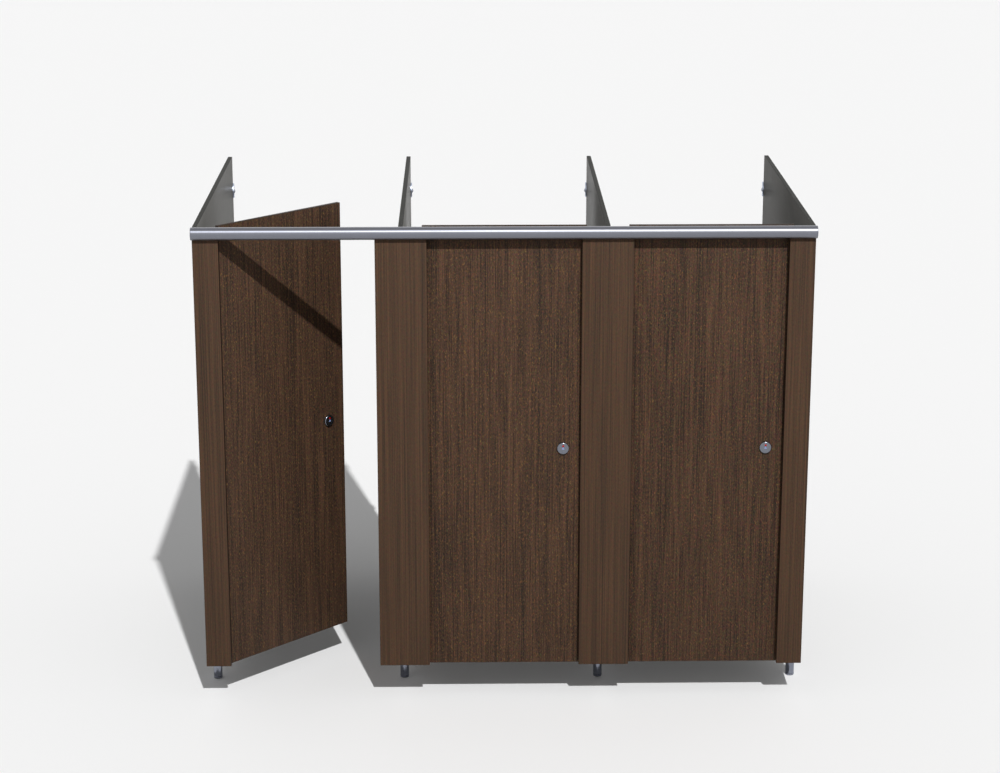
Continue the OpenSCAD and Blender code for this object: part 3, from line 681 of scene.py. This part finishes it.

# %% [markdown]
# ## Lock discs
#
# On the outside of each door a round disc turns with the lock, so that staff can open it with a
# three-sided key. Its rim is rounded, which is where it catches the lamp, a red dot marks the
# bolt's position, and the key recess in the middle is filled with pale enamel to just under the
# surface. That enamel's light blue is partly a painted reflection, lifted to stand for a bright
# reflection in the recess. A cylinder with three sides cuts the recess.

# %% The disc and its red dot
disc_low, disc_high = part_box("release_disc_middle")
disc_r = (disc_high.x - disc_low.x) / 2
disc_t = disc_high.y - disc_low.y
hub = Vector((lock.x, disc_high.y, lock.z))
RIM = 4.4 * mm
profile = [(0, disc_r - 0.4 * mm), (0.4 * mm, disc_r)] + rounded(disc_t, disc_r, RIM, 8)
disc = turned("disc", hub, OUT, profile + [(disc_t, mm)], 96)
dot_low, dot_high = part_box("position_dot_middle")
DOT_R, DOT_SUNK = (dot_high.x - dot_low.x) / 2, 1.5 * mm
KEY_SIDE, KEY_DEEP = 12.5 * mm, 0.6 * mm
top = hub + OUT * disc_t
dot_at = top + UP * (centre("position_dot_middle").z - lock.z)
cut(disc, rod("dot_room", dot_at - OUT * DOT_SUNK, dot_at + OUT * mm, DOT_R + 0.05 * mm))
bpy.ops.mesh.primitive_cylinder_add(
    vertices=3, radius=KEY_SIDE / 3 ** 0.5, depth=2 * KEY_DEEP, location=top, rotation=facing(OUT)
)
key = settle("key_room")
lowest = min(key.data.vertices, key=lambda v: v.co.z).co
print("the key recess points to", [round(v / mm, 2) for v in lowest - top], "mm from the middle")
cut(disc, key)
floor_y = (top - OUT * KEY_DEEP).y
# The recess floor takes the pale enamel, whose light blue is partly a painted reflection.
dress(
    disc, DISC, PALE_AND_REFLECTION,
    lambda face: near(face.center.y, floor_y) and abs(face.normal.y) > ALIGNED,
)
to_doors(disc, "lock_disc", None, "chrome", "turn", "release_disc")

dot = turned(
    "dot", dot_at - OUT * DOT_SUNK, OUT,
    [(0, DOT_R), (1.7 * mm, DOT_R), (1.85 * mm, DOT_R - 0.3 * mm), (1.95 * mm, DOT_R - mm),
     (2 * mm, mm)],
)
to_doors(dot, "lock_red_dot", RED, "red_enamel", "turn", "position_dot", smooth=50)

# %% [markdown]
# ## Fittings made once and copied
#
# A cubicle bank repeats its fittings many times: 18 corner angles, 9 hinges, 12 rear brackets, 8
# legs and about 140 screws. Each is modelled once around the world's origin, in its own simple
# directions, and then copied to its places. A place is a matrix: a move, sometimes with a turn.

# %% Places, and copies joined to one piece
def rows(inset, drop=0.0):
    """Low, middle and high places of a fitting, the outer two this far from the boards' ends."""
    return (door_low.z + inset, (door_low.z + door_high.z) / 2 - drop, door_high.z - inset)


ANGLE_ROWS = rows(100 * mm, 150 * mm)
HINGE_ROWS = rows(200 * mm)
STOP_ROWS = rows(150 * mm)
BRACKET_ROWS = rows(153 * mm)
print("rows of hinges", [round(v, 4) for v in HINGE_ROWS])
print("rows of brackets", [round(v, 4) for v in BRACKET_ROWS])
partitions = [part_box("partition_" + name) for name in UPRIGHTS]


def each_bay(x):
    return [x + BAY * number for number in range(3)]


def to(x, y, z, turn=0):
    return Matrix.Translation((x, y, z)) @ Matrix.Rotation(radians(turn), 4, "Z")


def copies(obj, name, places):
    made = [copy_by(obj, name, place_matrix) for place_matrix in places]
    bpy.data.objects.remove(obj)
    return gather(name, made)


def bank_set(obj, name, places, material, slot, hidden, smooth=32):
    return finish(copies(obj, name, places), material, slot, "bank", hidden, smooth=smooth)


# %% [markdown]
# ## Screws
#
# One pan head screw serves for all. The head is turned from a list of rings, a cross recess is cut
# in its top, and ten millimetres of shank reach into the board. It stands on the origin with its
# head up; a place for it is the point on the fitting and the direction that its head looks in.

# %% One screw
HEAD_R, HEAD_T, SHANK_R = 4 * mm, 2.2 * mm, 2 * mm
screw = turned(
    "screw", (0, 0, 0), UP,
    [(-10 * mm, 0.4 * mm), (-7 * mm, SHANK_R), (0, SHANK_R), (0, HEAD_R - 0.15 * mm),
     (0.35 * mm, HEAD_R), (1.0 * mm, HEAD_R - 0.35 * mm), (1.6 * mm, HEAD_R - 1.15 * mm),
     (2.0 * mm, HEAD_R - 2.2 * mm), (HEAD_T, HEAD_R - 3.4 * mm)],
    20,
)
RECESS_LONG, RECESS_WIDE, RECESS_FLOOR = 2.2 * mm, 0.45 * mm, 1.0 * mm
for a, b in ((RECESS_LONG, RECESS_WIDE), (RECESS_WIDE, RECESS_LONG)):
    cut(screw, block("recess", (-a, -b, RECESS_FLOOR), (a, b, HEAD_T + 0.8 * mm)))
print("one screw has", len(screw.data.polygons), "faces")


def seat(x, y, z, out):
    """The place of a screw whose head sits at this point and looks out that way."""
    return Matrix.Translation((x, y, z)) @ Vector(out).to_track_quat("Z", "Y").to_matrix().to_4x4()


board_seats = []


def add_seat(*where):
    board_seats.append(seat(*where))


# %% [markdown]
# ## Corner angles
#
# A pressed steel angle joins each pilaster to its partition: two plates that meet in a bend, with
# rounded free corners and two screw holes in each plate. The bend is a slim upright block, and the
# plates are pulled out of two of its faces in edit mode, which keeps the angle in one piece.

# %% Corner angles
ANGLE_W, ANGLE_H, ANGLE_T = 30 * mm, 60 * mm, 3 * mm
HOLE_OUT, HOLE_UP, HOLE_R = 18 * mm, 18 * mm, 2.2 * mm
angle = block("angle", (0, 0, -ANGLE_H / 2), (ANGLE_T, ANGLE_T, ANGLE_H / 2))
for way in (X, Y):
    open_mesh(
        angle, "FACE",
        lambda face: face.normal.dot(way) > ALIGNED
        and sum(face.calc_center_median().xy) < 2 * ANGLE_T,
    )
    bpy.ops.mesh.extrude_region_move(TRANSFORM_OT_translate={"value": way * (ANGLE_W - ANGLE_T)})
    close_mesh()


def free_corner(edge):
    """An edge through the plate's thickness, at the far end of either plate."""
    middle = (edge.verts[0].co + edge.verts[1].co) / 2
    at_end = near(max(middle.x, middle.y), ANGLE_W) and near(abs(middle.z), ANGLE_H / 2)
    return at_end and near(edge.calc_length(), ANGLE_T)


ease(angle, 5 * mm, 4, free_corner)
ease(angle, 0.5 * mm, 2)
holes(angle, HOLE_R, [(HOLE_OUT, 0, up * HOLE_UP) for up in (-1, 1)], Y, 5 * mm)
holes(angle, HOLE_R, [(0, HOLE_OUT, up * HOLE_UP) for up in (-1, 1)], X, 5 * mm)
back_of_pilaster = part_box("pilaster_left_end")[1].y
angle_places = []
for number, side in ((0, 1), (1, -1), (1, 1), (2, -1), (2, 1), (3, -1)):
    face = partitions[number][1 if side > 0 else 0].x
    for row in ANGLE_ROWS:
        angle_places.append(to(face, back_of_pilaster, row, 0 if side > 0 else 90))
        for z in (row - HOLE_UP, row + HOLE_UP):
            add_seat(face + side * HOLE_OUT, back_of_pilaster + ANGLE_T, z, Y)
            add_seat(face + side * ANGLE_T, back_of_pilaster + HOLE_OUT, z, X * side)
bank_set(angle, "corner_angle_set", angle_places, STEEL, "steel", "corner_angles")

# %% [markdown]
# ## Legs
#
# A leg is a polished tube with a shoe on top that grips the partition's lower edge. The tube stands
# half a board's thickness to one side of the board, so the shoe sits off its centre, and each leg
# is put together in its place. The shoe starts as a block, its upper corners are rounded while it
# is still solid, and the slot for the board is cut last.

# %% Legs
leg_low, leg_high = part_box("legs")
foot_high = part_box("foot_front_1")[1]
SHOE_W, SHOE_LONG, SHOE_LOW, SHOE_T = 24.1 * mm, 60 * mm, 147 * mm, 3 * mm
TUBE_R, TUBE_TOP, STUD_ROOM_R, STUD_ROOM_TOP = 18 * mm, 148.5 * mm, 6.1 * mm, 80 * mm
SHOE_SCREW_Z = 172 * mm
half_w, half_long = SHOE_W / 2, SHOE_LONG / 2
shoe = block("shoe", (-half_w, -half_long, SHOE_LOW), (half_w, half_long, leg_high.z))
ease(shoe, 9 * mm, 6, lambda edge: along(0)(edge) and near(edge.verts[0].co.z, leg_high.z))
ease(shoe, 0.6 * mm, 2)
slot_half = (partitions[0][1].x - partitions[0][0].x) / 2 + 0.05 * mm
cut(shoe, block("slot", (-slot_half, -0.1, SHOE_LOW + SHOE_T), (slot_half, 0.1, leg_high.z + mm)))
holes(shoe, HOLE_R, [(x, 0, SHOE_SCREW_Z) for x in (-half_w, half_w)], X, 4 * mm)
tube = turned(
    "tube", (0, 0, 0), UP,
    [(leg_low.z, TUBE_R - 0.5 * mm), (leg_low.z + 0.5 * mm, TUBE_R),
     (TUBE_TOP - 0.8 * mm, TUBE_R), (TUBE_TOP, TUBE_R - 0.8 * mm)],
    64,
)
cut(tube, rod("stud_room", (0, 0, 0), (0, 0, STUD_ROOM_TOP), STUD_ROOM_R, 32))
board_xs = [centre("partition_" + name).x for name in UPRIGHTS]
leg_xs = [centre(f"foot_front_{number}").x for number in (1, 2, 3, 4)]
leg_ys = (leg_low.y + half_long, leg_high.y - half_long)
print("each tube's shift in mm", [round((a - b) / mm, 1) for a, b in zip(leg_xs, board_xs)])
legs = []
for (board_x, leg_x), y in ((xs, y) for xs in zip(board_xs, leg_xs) for y in leg_ys):
    legs.append(copy_by(tube, "leg", to(leg_x, y, 0)))
    combine(legs[-1], copy_by(shoe, "shoe", to(board_x, y, 0)))
for pattern in (shoe, tube):
    bpy.data.objects.remove(pattern)
finish(gather("leg_set", legs), LEG, "chrome", "bank", "legs", smooth=30)
for x, y in ((x, y) for x in board_xs for y in leg_ys):
    add_seat(x - half_w, y, SHOE_SCREW_Z, -X)
    add_seat(x + half_w, y, SHOE_SCREW_Z, X)

# %% [markdown]
# ## Levelling feet
#
# Under each leg a turned steel foot screws in and out to level the bank. Screwed right in, as here,
# only its disc shows below the tube, with a fine shadow line above it and a thin rubber sole on the
# floor. Its stud stays hidden in the leg until the foot is screwed out.

# %% Feet
PAD_R, PAD_T, STUD_R, SOLE = 18 * mm, 9 * mm, 6 * mm, 1.6 * mm
PITCH, THREAD_DEEP = 1.75 * mm, 0.55 * mm
turns = [(PAD_T, STUD_R)]
z = PAD_T + 2 * mm
while z < foot_high.z - 3 * mm:
    turns += [(z, STUD_R), (z + 0.45 * mm, STUD_R - THREAD_DEEP), (z + 0.9 * mm, STUD_R)]
    z += PITCH
foot = turned(
    "foot", (0, 0, 0), UP,
    [(0, PAD_R - 1.4 * mm), (0.4 * mm, PAD_R - 1.0 * mm), (SOLE, PAD_R - 1.0 * mm),
     (SOLE, PAD_R - 0.3 * mm), (SOLE + 0.3 * mm, PAD_R), (PAD_T - 0.9 * mm, PAD_R),
     (PAD_T, PAD_R - 0.9 * mm)] + turns + [(foot_high.z - mm, STUD_R), (foot_high.z, STUD_R - mm)],
    64,
)
dress(foot, LEG, RUBBER, lambda face: face.center.z < SOLE - 0.1 * mm)
for row, y in zip(("front", "rear"), leg_ys):
    for number, x in enumerate(leg_xs, 1):
        name = f"foot_{row}_{number}"
        new = copy_by(foot, f"levelling_{name}", to(x, y, 0))
        finish(new, None, "chrome", "screw_" + name, name)
bpy.data.objects.remove(foot)

# %% [markdown]
# ## Rear brackets
#
# A U-shaped bracket holds each partition's rear edge in three places: a flat web behind the edge
# and a half-round cheek on each face, with one domed bolt through all of it. The U starts as a drum
# whose axis runs through the board, is bisected at the bank's rear plane, and gets its slot last.

# %% Brackets
CHEEK_R, BRACKET_HALF, WEB_T = 33 * mm, 14.05 * mm, 5 * mm
WEB_HOLE_R, WEB_HOLE_UP, BOLT_HOLE_R = 3.25 * mm, 14 * mm, 4.2 * mm
drum = rod("drum", (-BRACKET_HALF, 0, 0), (BRACKET_HALF, 0, 0), CHEEK_R, 96)
open_mesh(drum, "FACE", lambda face: True)
bpy.ops.mesh.bisect(plane_co=(0, 0, 0), plane_no=(0, 1, 0), use_fill=True, clear_outer=True)
close_mesh()
ease(drum, 1.2 * mm, 3)
cut(drum, block("slot", (-slot_half, -0.1, -0.1), (slot_half, -WEB_T, 0.1)))
holes(drum, WEB_HOLE_R, [(0, -WEB_T / 2, z) for z in (-WEB_HOLE_UP, WEB_HOLE_UP)], Y, 6 * mm)
bolt_y = centre("bracket_bolts").y
rear_y = cad_high.y
holes(drum, BOLT_HOLE_R, [(0, bolt_y - rear_y, 0)], X, 20 * mm)
bracket_spots = [(x, row, 0 if x < 0 else 180) for x in board_xs for row in BRACKET_ROWS]
bracket_places = [to(x, rear_y, row) for x, row, turn in bracket_spots]
bank_set(drum, "wall_bracket_set", bracket_places, ZINC, "chrome", "wall_brackets", 30)

# %% [markdown]
# The bolt's head and the cap nut have the same domed shape, so both come from one list of rings,
# the nut's reversed. A hexagon key turns the nut, and the head is plain.

# %% Their bolts
def dome(foot, wide, tall, steps=6):
    """Rings of a domed head whose flat side is at the height of its foot."""
    ball, rim = 0.6 * wide, wide / 2
    at_rim, at_top = 0.585, 1.50
    rings = [(foot, rim - 0.2 * mm), (foot + 0.2 * mm, rim)]
    for step in range(steps + 1):
        a = (1 - step / steps) * at_rim + step / steps * at_top
        rings.append((foot + tall - ball + ball * sin(a), ball * cos(a)))
    return rings


HEAD_WIDE, HEAD_TALL, NUT_WIDE, NUT_TALL, BOLT_R = 20 * mm, 6 * mm, 16 * mm, 5 * mm, 4 * mm
nut = [(-h, r) for h, r in reversed(dome(BRACKET_HALF, NUT_WIDE, NUT_TALL))]
shank = [(-BRACKET_HALF, BOLT_R), (BRACKET_HALF, BOLT_R)]
shape = nut + shank + dome(BRACKET_HALF, HEAD_WIDE, HEAD_TALL)
bolt = turned("bolt", (0, 0, 0), X, shape, 40)
KEY_R, nut_end = 3 * mm, -BRACKET_HALF - NUT_TALL
cut(bolt, rod("hexagon", (nut_end - KEY_R, 0, 0), (nut_end + KEY_R, 0, 0), KEY_R, 6))
bolt_places = [to(x, bolt_y, row, turn) for x, row, turn in bracket_spots]
bank_set(bolt, "bracket_bolt_set", bolt_places, BRIGHT, "chrome", "bracket_bolts", 30)

# %% [markdown]
# ## Hinges
#
# Each door hangs on three lift-on hinges. The frame leaf is screwed behind the pilaster; its web
# reaches back to two knuckles that the pin runs through. The door leaf lies on the door's inside
# and carries the middle knuckle. Leaves are flat plates with rounded corners, knuckles are drums,
# and both are joined before the pin's bore is drilled.

# %% Frame leaves and pins
PIN_R, KNUCKLE_R, LEAF_T, LEAF_W = 3 * mm, 6 * mm, 2.5 * mm, 32 * mm
HINGE_H, MIDDLE_H, WEB_ROOM, LEAF_HOLE = 80 * mm, 28 * mm, 2 * mm, 25.6 * mm
pin_y = hinge.y
REACH = pin_y - back_of_pilaster
KNUCKLE_H = (HINGE_H - MIDDLE_H) / 2 - GAP
LEAF_ROUND, KNUCKLE_ROUND = 0.35 * mm, 0.4 * mm


def rounded_plate(name, low, high, far_x):
    """A hinge leaf whose two free corners are rounded."""
    plate = block(name, low, high)
    ease(plate, 6 * mm, 4, lambda e: along(1)(e) and near(e.verts[0].co.x, far_x))
    return ease(plate, LEAF_ROUND)


def knuckle(low, high):
    return ease(rod("knuckle", (0, 0, low), (0, 0, high), KNUCKLE_R), KNUCKLE_ROUND)


def pin_bore():
    return rod("bore", (0, 0, -0.1), (0, 0, 0.1), PIN_R + 0.05 * mm)


far, near_x = -KNUCKLE_R - LEAF_W, LEAF_T - KNUCKLE_R
half = HINGE_H / 2
web_y = -KNUCKLE_R - WEB_ROOM
frame_leaf = rounded_plate("frame_leaf", (far, -REACH, -half), (near_x, LEAF_T - REACH, half), far)
web = block("web", (-KNUCKLE_R, -REACH + mm, -half), (near_x, web_y, half))
combine(frame_leaf, ease(web, LEAF_ROUND))
for low, high in ((-half, KNUCKLE_H - half), (half - KNUCKLE_H, half)):
    combine(frame_leaf, block("arm", (-KNUCKLE_R, web_y - mm, low), (near_x, 0, high)))
    combine(frame_leaf, knuckle(low, high))
cut(frame_leaf, pin_bore())
frame_hole_x = -KNUCKLE_R - LEAF_W / 2
leaf_holes = (-LEAF_HOLE, LEAF_HOLE)
holes(frame_leaf, HOLE_R, [(frame_hole_x, -REACH, z) for z in leaf_holes], Y, 5 * mm)
hinge_spots = [(x, row) for x in each_bay(hinge.x) for row in HINGE_ROWS]
hinge_places = [to(x, pin_y, row) for x, row in hinge_spots]
bank_set(
    frame_leaf, "hinge_frame_leaf_set", hinge_places, STEEL, "steel", "hinge_frame_leaves"
)
for x, row in hinge_spots:
    for up in leaf_holes:
        add_seat(x + frame_hole_x, back_of_pilaster + LEAF_T, row + up, Y)

pin_rings = [(half, PIN_R), (half, PIN_R + 1.4 * mm), (half + 0.5 * mm, PIN_R + 1.5 * mm)]
pin_rings += [(half + 1.6 * mm, PIN_R + 0.7 * mm), (half + 2 * mm, PIN_R - 0.4 * mm)]
pin = turned("pin", (0, 0, 0), UP, [(-h, r) for h, r in reversed(pin_rings)] + pin_rings, 32)
bank_set(pin, "hinge_pin_set", hinge_places, SCREW, "screw_steel", "hinge_pins")

# %% Door leaves
door_leaf_x = KNUCKLE_R + WEB_ROOM
door_face = door_high.y - pin_y
leaf_end = door_leaf_x + LEAF_W
door_leaf = rounded_plate(
    "door_leaf", (door_leaf_x, door_face, -half), (leaf_end, door_face + LEAF_T, half), leaf_end
)
arm_top = (door_leaf_x + mm, door_face + LEAF_T, MIDDLE_H / 2)
combine(door_leaf, block("arm", (0, door_face, -MIDDLE_H / 2), arm_top))
combine(door_leaf, knuckle(-MIDDLE_H / 2, MIDDLE_H / 2))
cut(door_leaf, pin_bore())
door_hole_x = door_leaf_x + LEAF_W / 2
holes(door_leaf, HOLE_R, [(door_hole_x, door_face + LEAF_T, z) for z in leaf_holes], Y, 4 * mm)
middle_hinge = hinge.x + BAY
door_leaves = copies(door_leaf, "door_leaves", [to(middle_hinge, pin_y, row) for row in HINGE_ROWS])
to_doors(door_leaves, "hinge_door_leaves", STEEL, "steel", "door", "hinge_leaves")
door_seats = [
    seat(middle_hinge + door_hole_x, door_high.y + LEAF_T, row + up, Y)
    for row in HINGE_ROWS for up in leaf_holes
]

# %% [markdown]
# ## Locks
#
# The lock's case sits on the door's inside like a flat box with a screwed tab above and below. A
# thumb knob turns the spindle by a quarter, a crank in the case moves the bolt, and its nose slides
# into a keep on the pilaster. The case is hollowed from its rear so that the works fit in it.

# %% Lock cases
case_low, case_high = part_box("lock_case_middle")
TAB_OUT, TAB_W, TAB_T, SHEET = 11 * mm, 22 * mm, 2 * mm, 1.5 * mm
SPINDLE_ROOM = 4.1 * mm


def at_back(y):
    """Picks the sharp edges that lie at this depth, which is the side that shows in the cubicle."""
    return lambda edge: is_sharp(edge) and near(min(v.co.y for v in edge.verts), y)


body_low = Vector((case_low.x, case_low.y, case_low.z + TAB_OUT))
body_high = Vector((case_high.x, case_high.y, case_high.z - TAB_OUT))
case = block("case", body_low, body_high)
ease(case, 4 * mm, 4, along(1))
ease(case, 1.4 * mm, 4, at_back(body_high.y))
tab_x, tab_y = centre("lock_case_middle").x, case_low.y + TAB_T
tab_low = (tab_x - TAB_W / 2, case_low.y, case_low.z)
tabs = block("tabs", tab_low, (tab_x + TAB_W / 2, tab_y, case_high.z))
ease(tabs, 6 * mm, 5, along(1))
combine(case, ease(tabs, 0.3 * mm, 2))
room_low = body_low + Vector((SHEET, -mm, SHEET))
cut(case, block("room", room_low, body_high - Vector((SHEET, SHEET, SHEET))))
bolt_box_low, bolt_box_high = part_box("lock_bolt_middle")
NOSE_HALF = 8.3 * mm
cut(case, block(
    "nose_room",
    (lock.x, bolt_box_low.y - GAP, lock.z - NOSE_HALF),
    (case_high.x + mm, bolt_box_high.y + GAP, lock.z + NOSE_HALF),
))
holes(case, SPINDLE_ROOM, [(lock.x, case_high.y, lock.z)], Y, 4 * mm)
tab_seats = [(tab_x, tab_y, z) for z in (case_low.z + TAB_OUT / 2, case_high.z - TAB_OUT / 2)]
holes(case, HOLE_R, tab_seats, Y, 4 * mm)
to_doors(case, "lock_case_body", CHROME, "steel", "door", "lock_case")
door_seats += [seat(*spot, Y) for spot in tab_seats]

# %% [markdown]
# The thumb knob is a bar with round ends on a round boss. The bar is a block whose edges along Y
# are bevelled by half its width, which leaves half circles, and the turned boss is joined to it.

# %% Thumb knobs
knob_low, knob_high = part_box("thumb_knob_middle")
BOSS_R, BOSS_T, BAR_HALF = 11 * mm, 4 * mm, 5.5 * mm
knob = block(
    "knob", (lock.x - BAR_HALF, knob_low.y + BOSS_T - mm, knob_low.z),
    (lock.x + BAR_HALF, knob_high.y, knob_high.z),
)
ease(knob, BAR_HALF - 0.1 * mm, 8, along(1))
ease(knob, 2.2 * mm, 5, at_back(knob_high.y))
boss = turned(
    "boss", (lock.x, knob_low.y, lock.z), Y,
    [(0, SPINDLE_ROOM), (0, BOSS_R - 0.4 * mm), (0.4 * mm, BOSS_R), (BOSS_T - 1.2 * mm, BOSS_R),
     (BOSS_T - 0.3 * mm, BOSS_R - 0.9 * mm), (BOSS_T, BOSS_R - 2 * mm), (BOSS_T, 2 * mm)],
)
combine(knob, boss)
bore_ends = [(lock.x, y, lock.z) for y in (knob_low.y - mm, knob_low.y + 8 * mm)]
cut(knob, rod("bore", *bore_ends, SPINDLE_ROOM, 32))
to_doors(knob, "thumb_turn_knob", CHROME, "chrome", "turn", "thumb_knob")

# %% [markdown]
# A keep catches the bolt's nose behind the next pilaster. It is a little bridge between two screwed
# flanges: a block with eased outer edges on a flat plate, with a room cut right through.

# %% Keeps
keep_low, keep_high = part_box("bolt_keeps")
KEEP_W, KEEP_T, FLANGE = 22 * mm, 2.5 * mm, 12 * mm
keep_z = centre("bolt_keeps").z
tall = (keep_high.z - keep_low.z) / 2
depth = keep_high.y - keep_low.y
keep = block("keep", (0, 0, -tall + FLANGE), (KEEP_W, depth, tall - FLANGE))
ease(keep, 2 * mm, 3, lambda e: along(0)(e) and near(e.verts[0].co.y, depth))
ease(keep, 0.4 * mm, 2)
flange = block("flange", (0, 0, -tall), (KEEP_W, KEEP_T, tall))
ease(flange, 5 * mm, 4, along(1))
combine(keep, ease(flange, 0.4 * mm, 2))
room = tall - FLANGE - KEEP_T
cut(keep, block("room", (-mm, KEEP_T, -room), (KEEP_W + mm, depth - KEEP_T, room)))
keep_holes = [(KEEP_W / 2, 0, way * (tall - FLANGE / 2)) for way in (-1, 1)]
holes(keep, HOLE_R, keep_holes, Y, 5 * mm)
keep_xs = each_bay(keep_low.x)
keep_places = [to(x, back_of_pilaster, keep_z) for x in keep_xs]
bank_set(keep, "bolt_keep_set", keep_places, STEEL, "steel", "bolt_keeps")
for x in keep_xs:
    for hole_x, _, up in keep_holes:
        add_seat(x + hole_x, back_of_pilaster + KEEP_T, keep_z + up, Y)

# %% [markdown]
# ## Door stops, coat hooks and buffers
#
# Soft and small turned pieces: black rubber buttons that the doors close against, and inside each
# door a coat hook with a slim waist, a flared end and a rubber buffer that meets the partition.

# %% Stops, hooks and buffers
stop_low, stop_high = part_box("door_stops")
STOP_R = 6 * mm
stop_t = stop_high.y - stop_low.y
stop = turned(
    "stop", (0, 0, 0), Y,
    [(0, STOP_R - 0.5 * mm), (0.5 * mm, STOP_R)] + rounded(stop_t, STOP_R, 2 * mm)
    + [(stop_t, 2.2 * mm), (stop_t - mm, 1.8 * mm), (stop_t - mm, 0.4 * mm)],
    32,
)
stop_xs = each_bay(stop_low.x + STOP_R)
stop_places = [to(x, back_of_pilaster, row) for x in stop_xs for row in STOP_ROWS]
bank_set(stop, "door_stop_set", stop_places, RUBBER, "black_rubber", "door_stops", 40)


def front_of(name):
    """The middle of the front of a node's box, where a piece stands on the door."""
    middle = centre(name)
    middle.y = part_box(name)[0].y
    return middle


hook = turned(
    "hook", front_of("coat_hook_middle"), Y,
    in_mm(
        (0, 19.6), (0.4, 20), (1.8, 20), (2.9, 19.3), (3.6, 17.8), (4.0, 15.5), (4.1, 10.0),
        (4.8, 8.0), (6.4, 6.7), (9.0, 6.0), (18, 5.6), (30, 5.6), (36, 6.1), (39.4, 7.3),
        (41.4, 9.4), (42.6, 11.6), (43.4, 12.7), (44.0, 13.0), (45.5, 13.0), (46.0, 12.5),
        (46.0, 1.0),
    ),
    56,
)
to_doors(hook, "coat_hook_body", CHROME, "chrome", "door", "coat_hook", smooth=40)
buffer = turned(
    "buffer", front_of("hook_buffer_middle"), Y,
    in_mm(
        (0, 11.6), (0.4, 12), (4.8, 12), (6.6, 11.6), (8.2, 10.5), (9.3, 9.0), (9.85, 7.4),
        (10.0, 5.5), (10.0, 0.6),
    ),
)
to_doors(buffer, "coat_hook_buffer", RUBBER, "black_rubber", "door", "hook_buffer", smooth=40)

# %% [markdown]
# ## All the screws, and the lock's works
#
# By now every fitting has left the places of its screws in a list. The rail's own screws come last,
# then one copy of the screw goes to each place. The bolt and the spindle with its crank are plain
# machined parts whose solids are already right, so those stay and only get their steel.

# %% Board screws and door screws
RAIL_SCREW_OUT = 50 * mm
for number in range(4):
    for side in (-1, 1):
        x = (number - 1.5) * BAY + side * RAIL_SCREW_OUT
        if rail_low.x < x < rail_high.x:
            add_seat(x, axis_y + radius, axis_z, Y)
print("screws in the boards:", len(board_seats), "and in each door:", len(door_seats))
door_screw = copy_by(screw, "door_screw", Matrix.Identity(4))
bank_set(screw, "board_screw_set", board_seats, SCREW, "screw_steel", "panel_screws")
door_set = copies(door_screw, "door_screws", door_seats)
to_doors(door_set, "door_screw_set", SCREW, "screw_steel", "door", "door_screws")

# %% Steel on the parts that stay
for side in SIDES:
    for name, material in (("lock_bolt_", STEEL), ("lock_spindle_", SCREW)):
        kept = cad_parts[name + side]
        dress(kept, material)
        print(kept.name, "keeps its solid and is finished in", material.name)

# %% [markdown]
# ## Stage, light and camera
#
# The floor is a large plane under a soft sky. Both are seen pale, also in polished metal, but they
# light the scene with less, so that no face clips to white: the Light Path node tells which kind of
# ray is asking. Straight up the sky is darker, or the boards' shine would turn grey.

# %% Floor and sky
LIT, SEEN = 0.34, 0.90
CEILING_FROM, CEILING_TO, CEILING = 0.5, 0.95, 0.5


def seen_rays(owner):
    """1 for a ray that is seen directly, in a mirror or through glass, and 0 for lighting."""
    rays = node(owner, "ShaderNodeLightPath").outputs
    seen = sums(owner, rays["Is Camera Ray"], rays["Is Glossy Ray"], "MAXIMUM")
    return sums(owner, seen, rays["Is Transmission Ray"], "MAXIMUM")


bpy.ops.object.select_all(action="DESELECT")
bpy.ops.mesh.primitive_plane_add(size=160, location=(0, 0, 0))
floor = bpy.context.object
floor.name = "studio_floor"
floor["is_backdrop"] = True
ground = new_material("studio_ground")
tone = mix(ground, seen_rays(ground), (LIT, LIT, LIT, 1), (SEEN, SEEN, SEEN, 1))
shader(ground, Base_Color=tone, Roughness=0.9)
floor.data.materials.append(ground)

world = bpy.data.worlds.new("studio_sky")
bpy.context.scene.world = world
world.use_nodes = True
direction = node(world, "ShaderNodeTexCoord").outputs["Generated"]
height = node(world, "ShaderNodeSeparateXYZ", {0: direction}).outputs["Z"]
pale = spread(world, height, CEILING_FROM, CEILING_TO, 1.0, CEILING)
level = spread(world, seen_rays(world), 0.0, 1.0, LIT, pale)
feed(world, world.node_tree.nodes["Background"], {"Color": (1, 1, 1, 1), "Strength": level})

# %% [markdown]
# One sun lamp shines from the upper right, in front of the bank. A sun's light is parallel, and its
# angle sets how soft the edge of a shadow is. A small one gives the crisp shadow that the rail
# throws across the open door.

# %% Sun
LIGHT_WAY = Vector((-0.245, 1.0, -1.13))
sun_data = bpy.data.lights.new("key_sun", "SUN")
sun_data.energy, sun_data.angle = 2.9, radians(1.0)
sun = bpy.data.objects.new("key_sun", sun_data)
sun.rotation_euler = LIGHT_WAY.to_track_quat("-Z", "Y").to_euler()
bpy.context.collection.objects.link(sun)
bpy.context.scene.view_settings.view_transform = "Standard"

# %% [markdown]
# The camera stands where the vanishing lines of the bank's long edges put it: nearly ten metres in
# front, well above the headrail and looking down a little. Its lens is long, so the depth is flat.

# %% Camera
CAMERA_AT = (-0.157, -9.805, 3.8736)
CAMERA_WAY = Vector((0.01483, 0.9623, -0.27162))
camera_data = bpy.data.cameras.new("photo_camera")
camera_data.lens, camera_data.sensor_width = 86.7, 36.0
camera_data.clip_start, camera_data.clip_end = 0.1, 300
camera = bpy.data.objects.new("photo_camera", camera_data)
camera.location = CAMERA_AT
camera.rotation_euler = CAMERA_WAY.to_track_quat("-Z", "Y").to_euler()
bpy.context.collection.objects.link(camera)
bpy.context.scene.camera = camera

# %% [markdown]
# ## Sizes
#
# The last step prints the dressed object's box, to set beside the frame's box printed at the start:
# looks never change dimensions.

# %% Sizes and the end
low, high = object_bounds()
print("the dressed object runs from", [round(v, 4) for v in low], "to", [round(v, 4) for v in high])
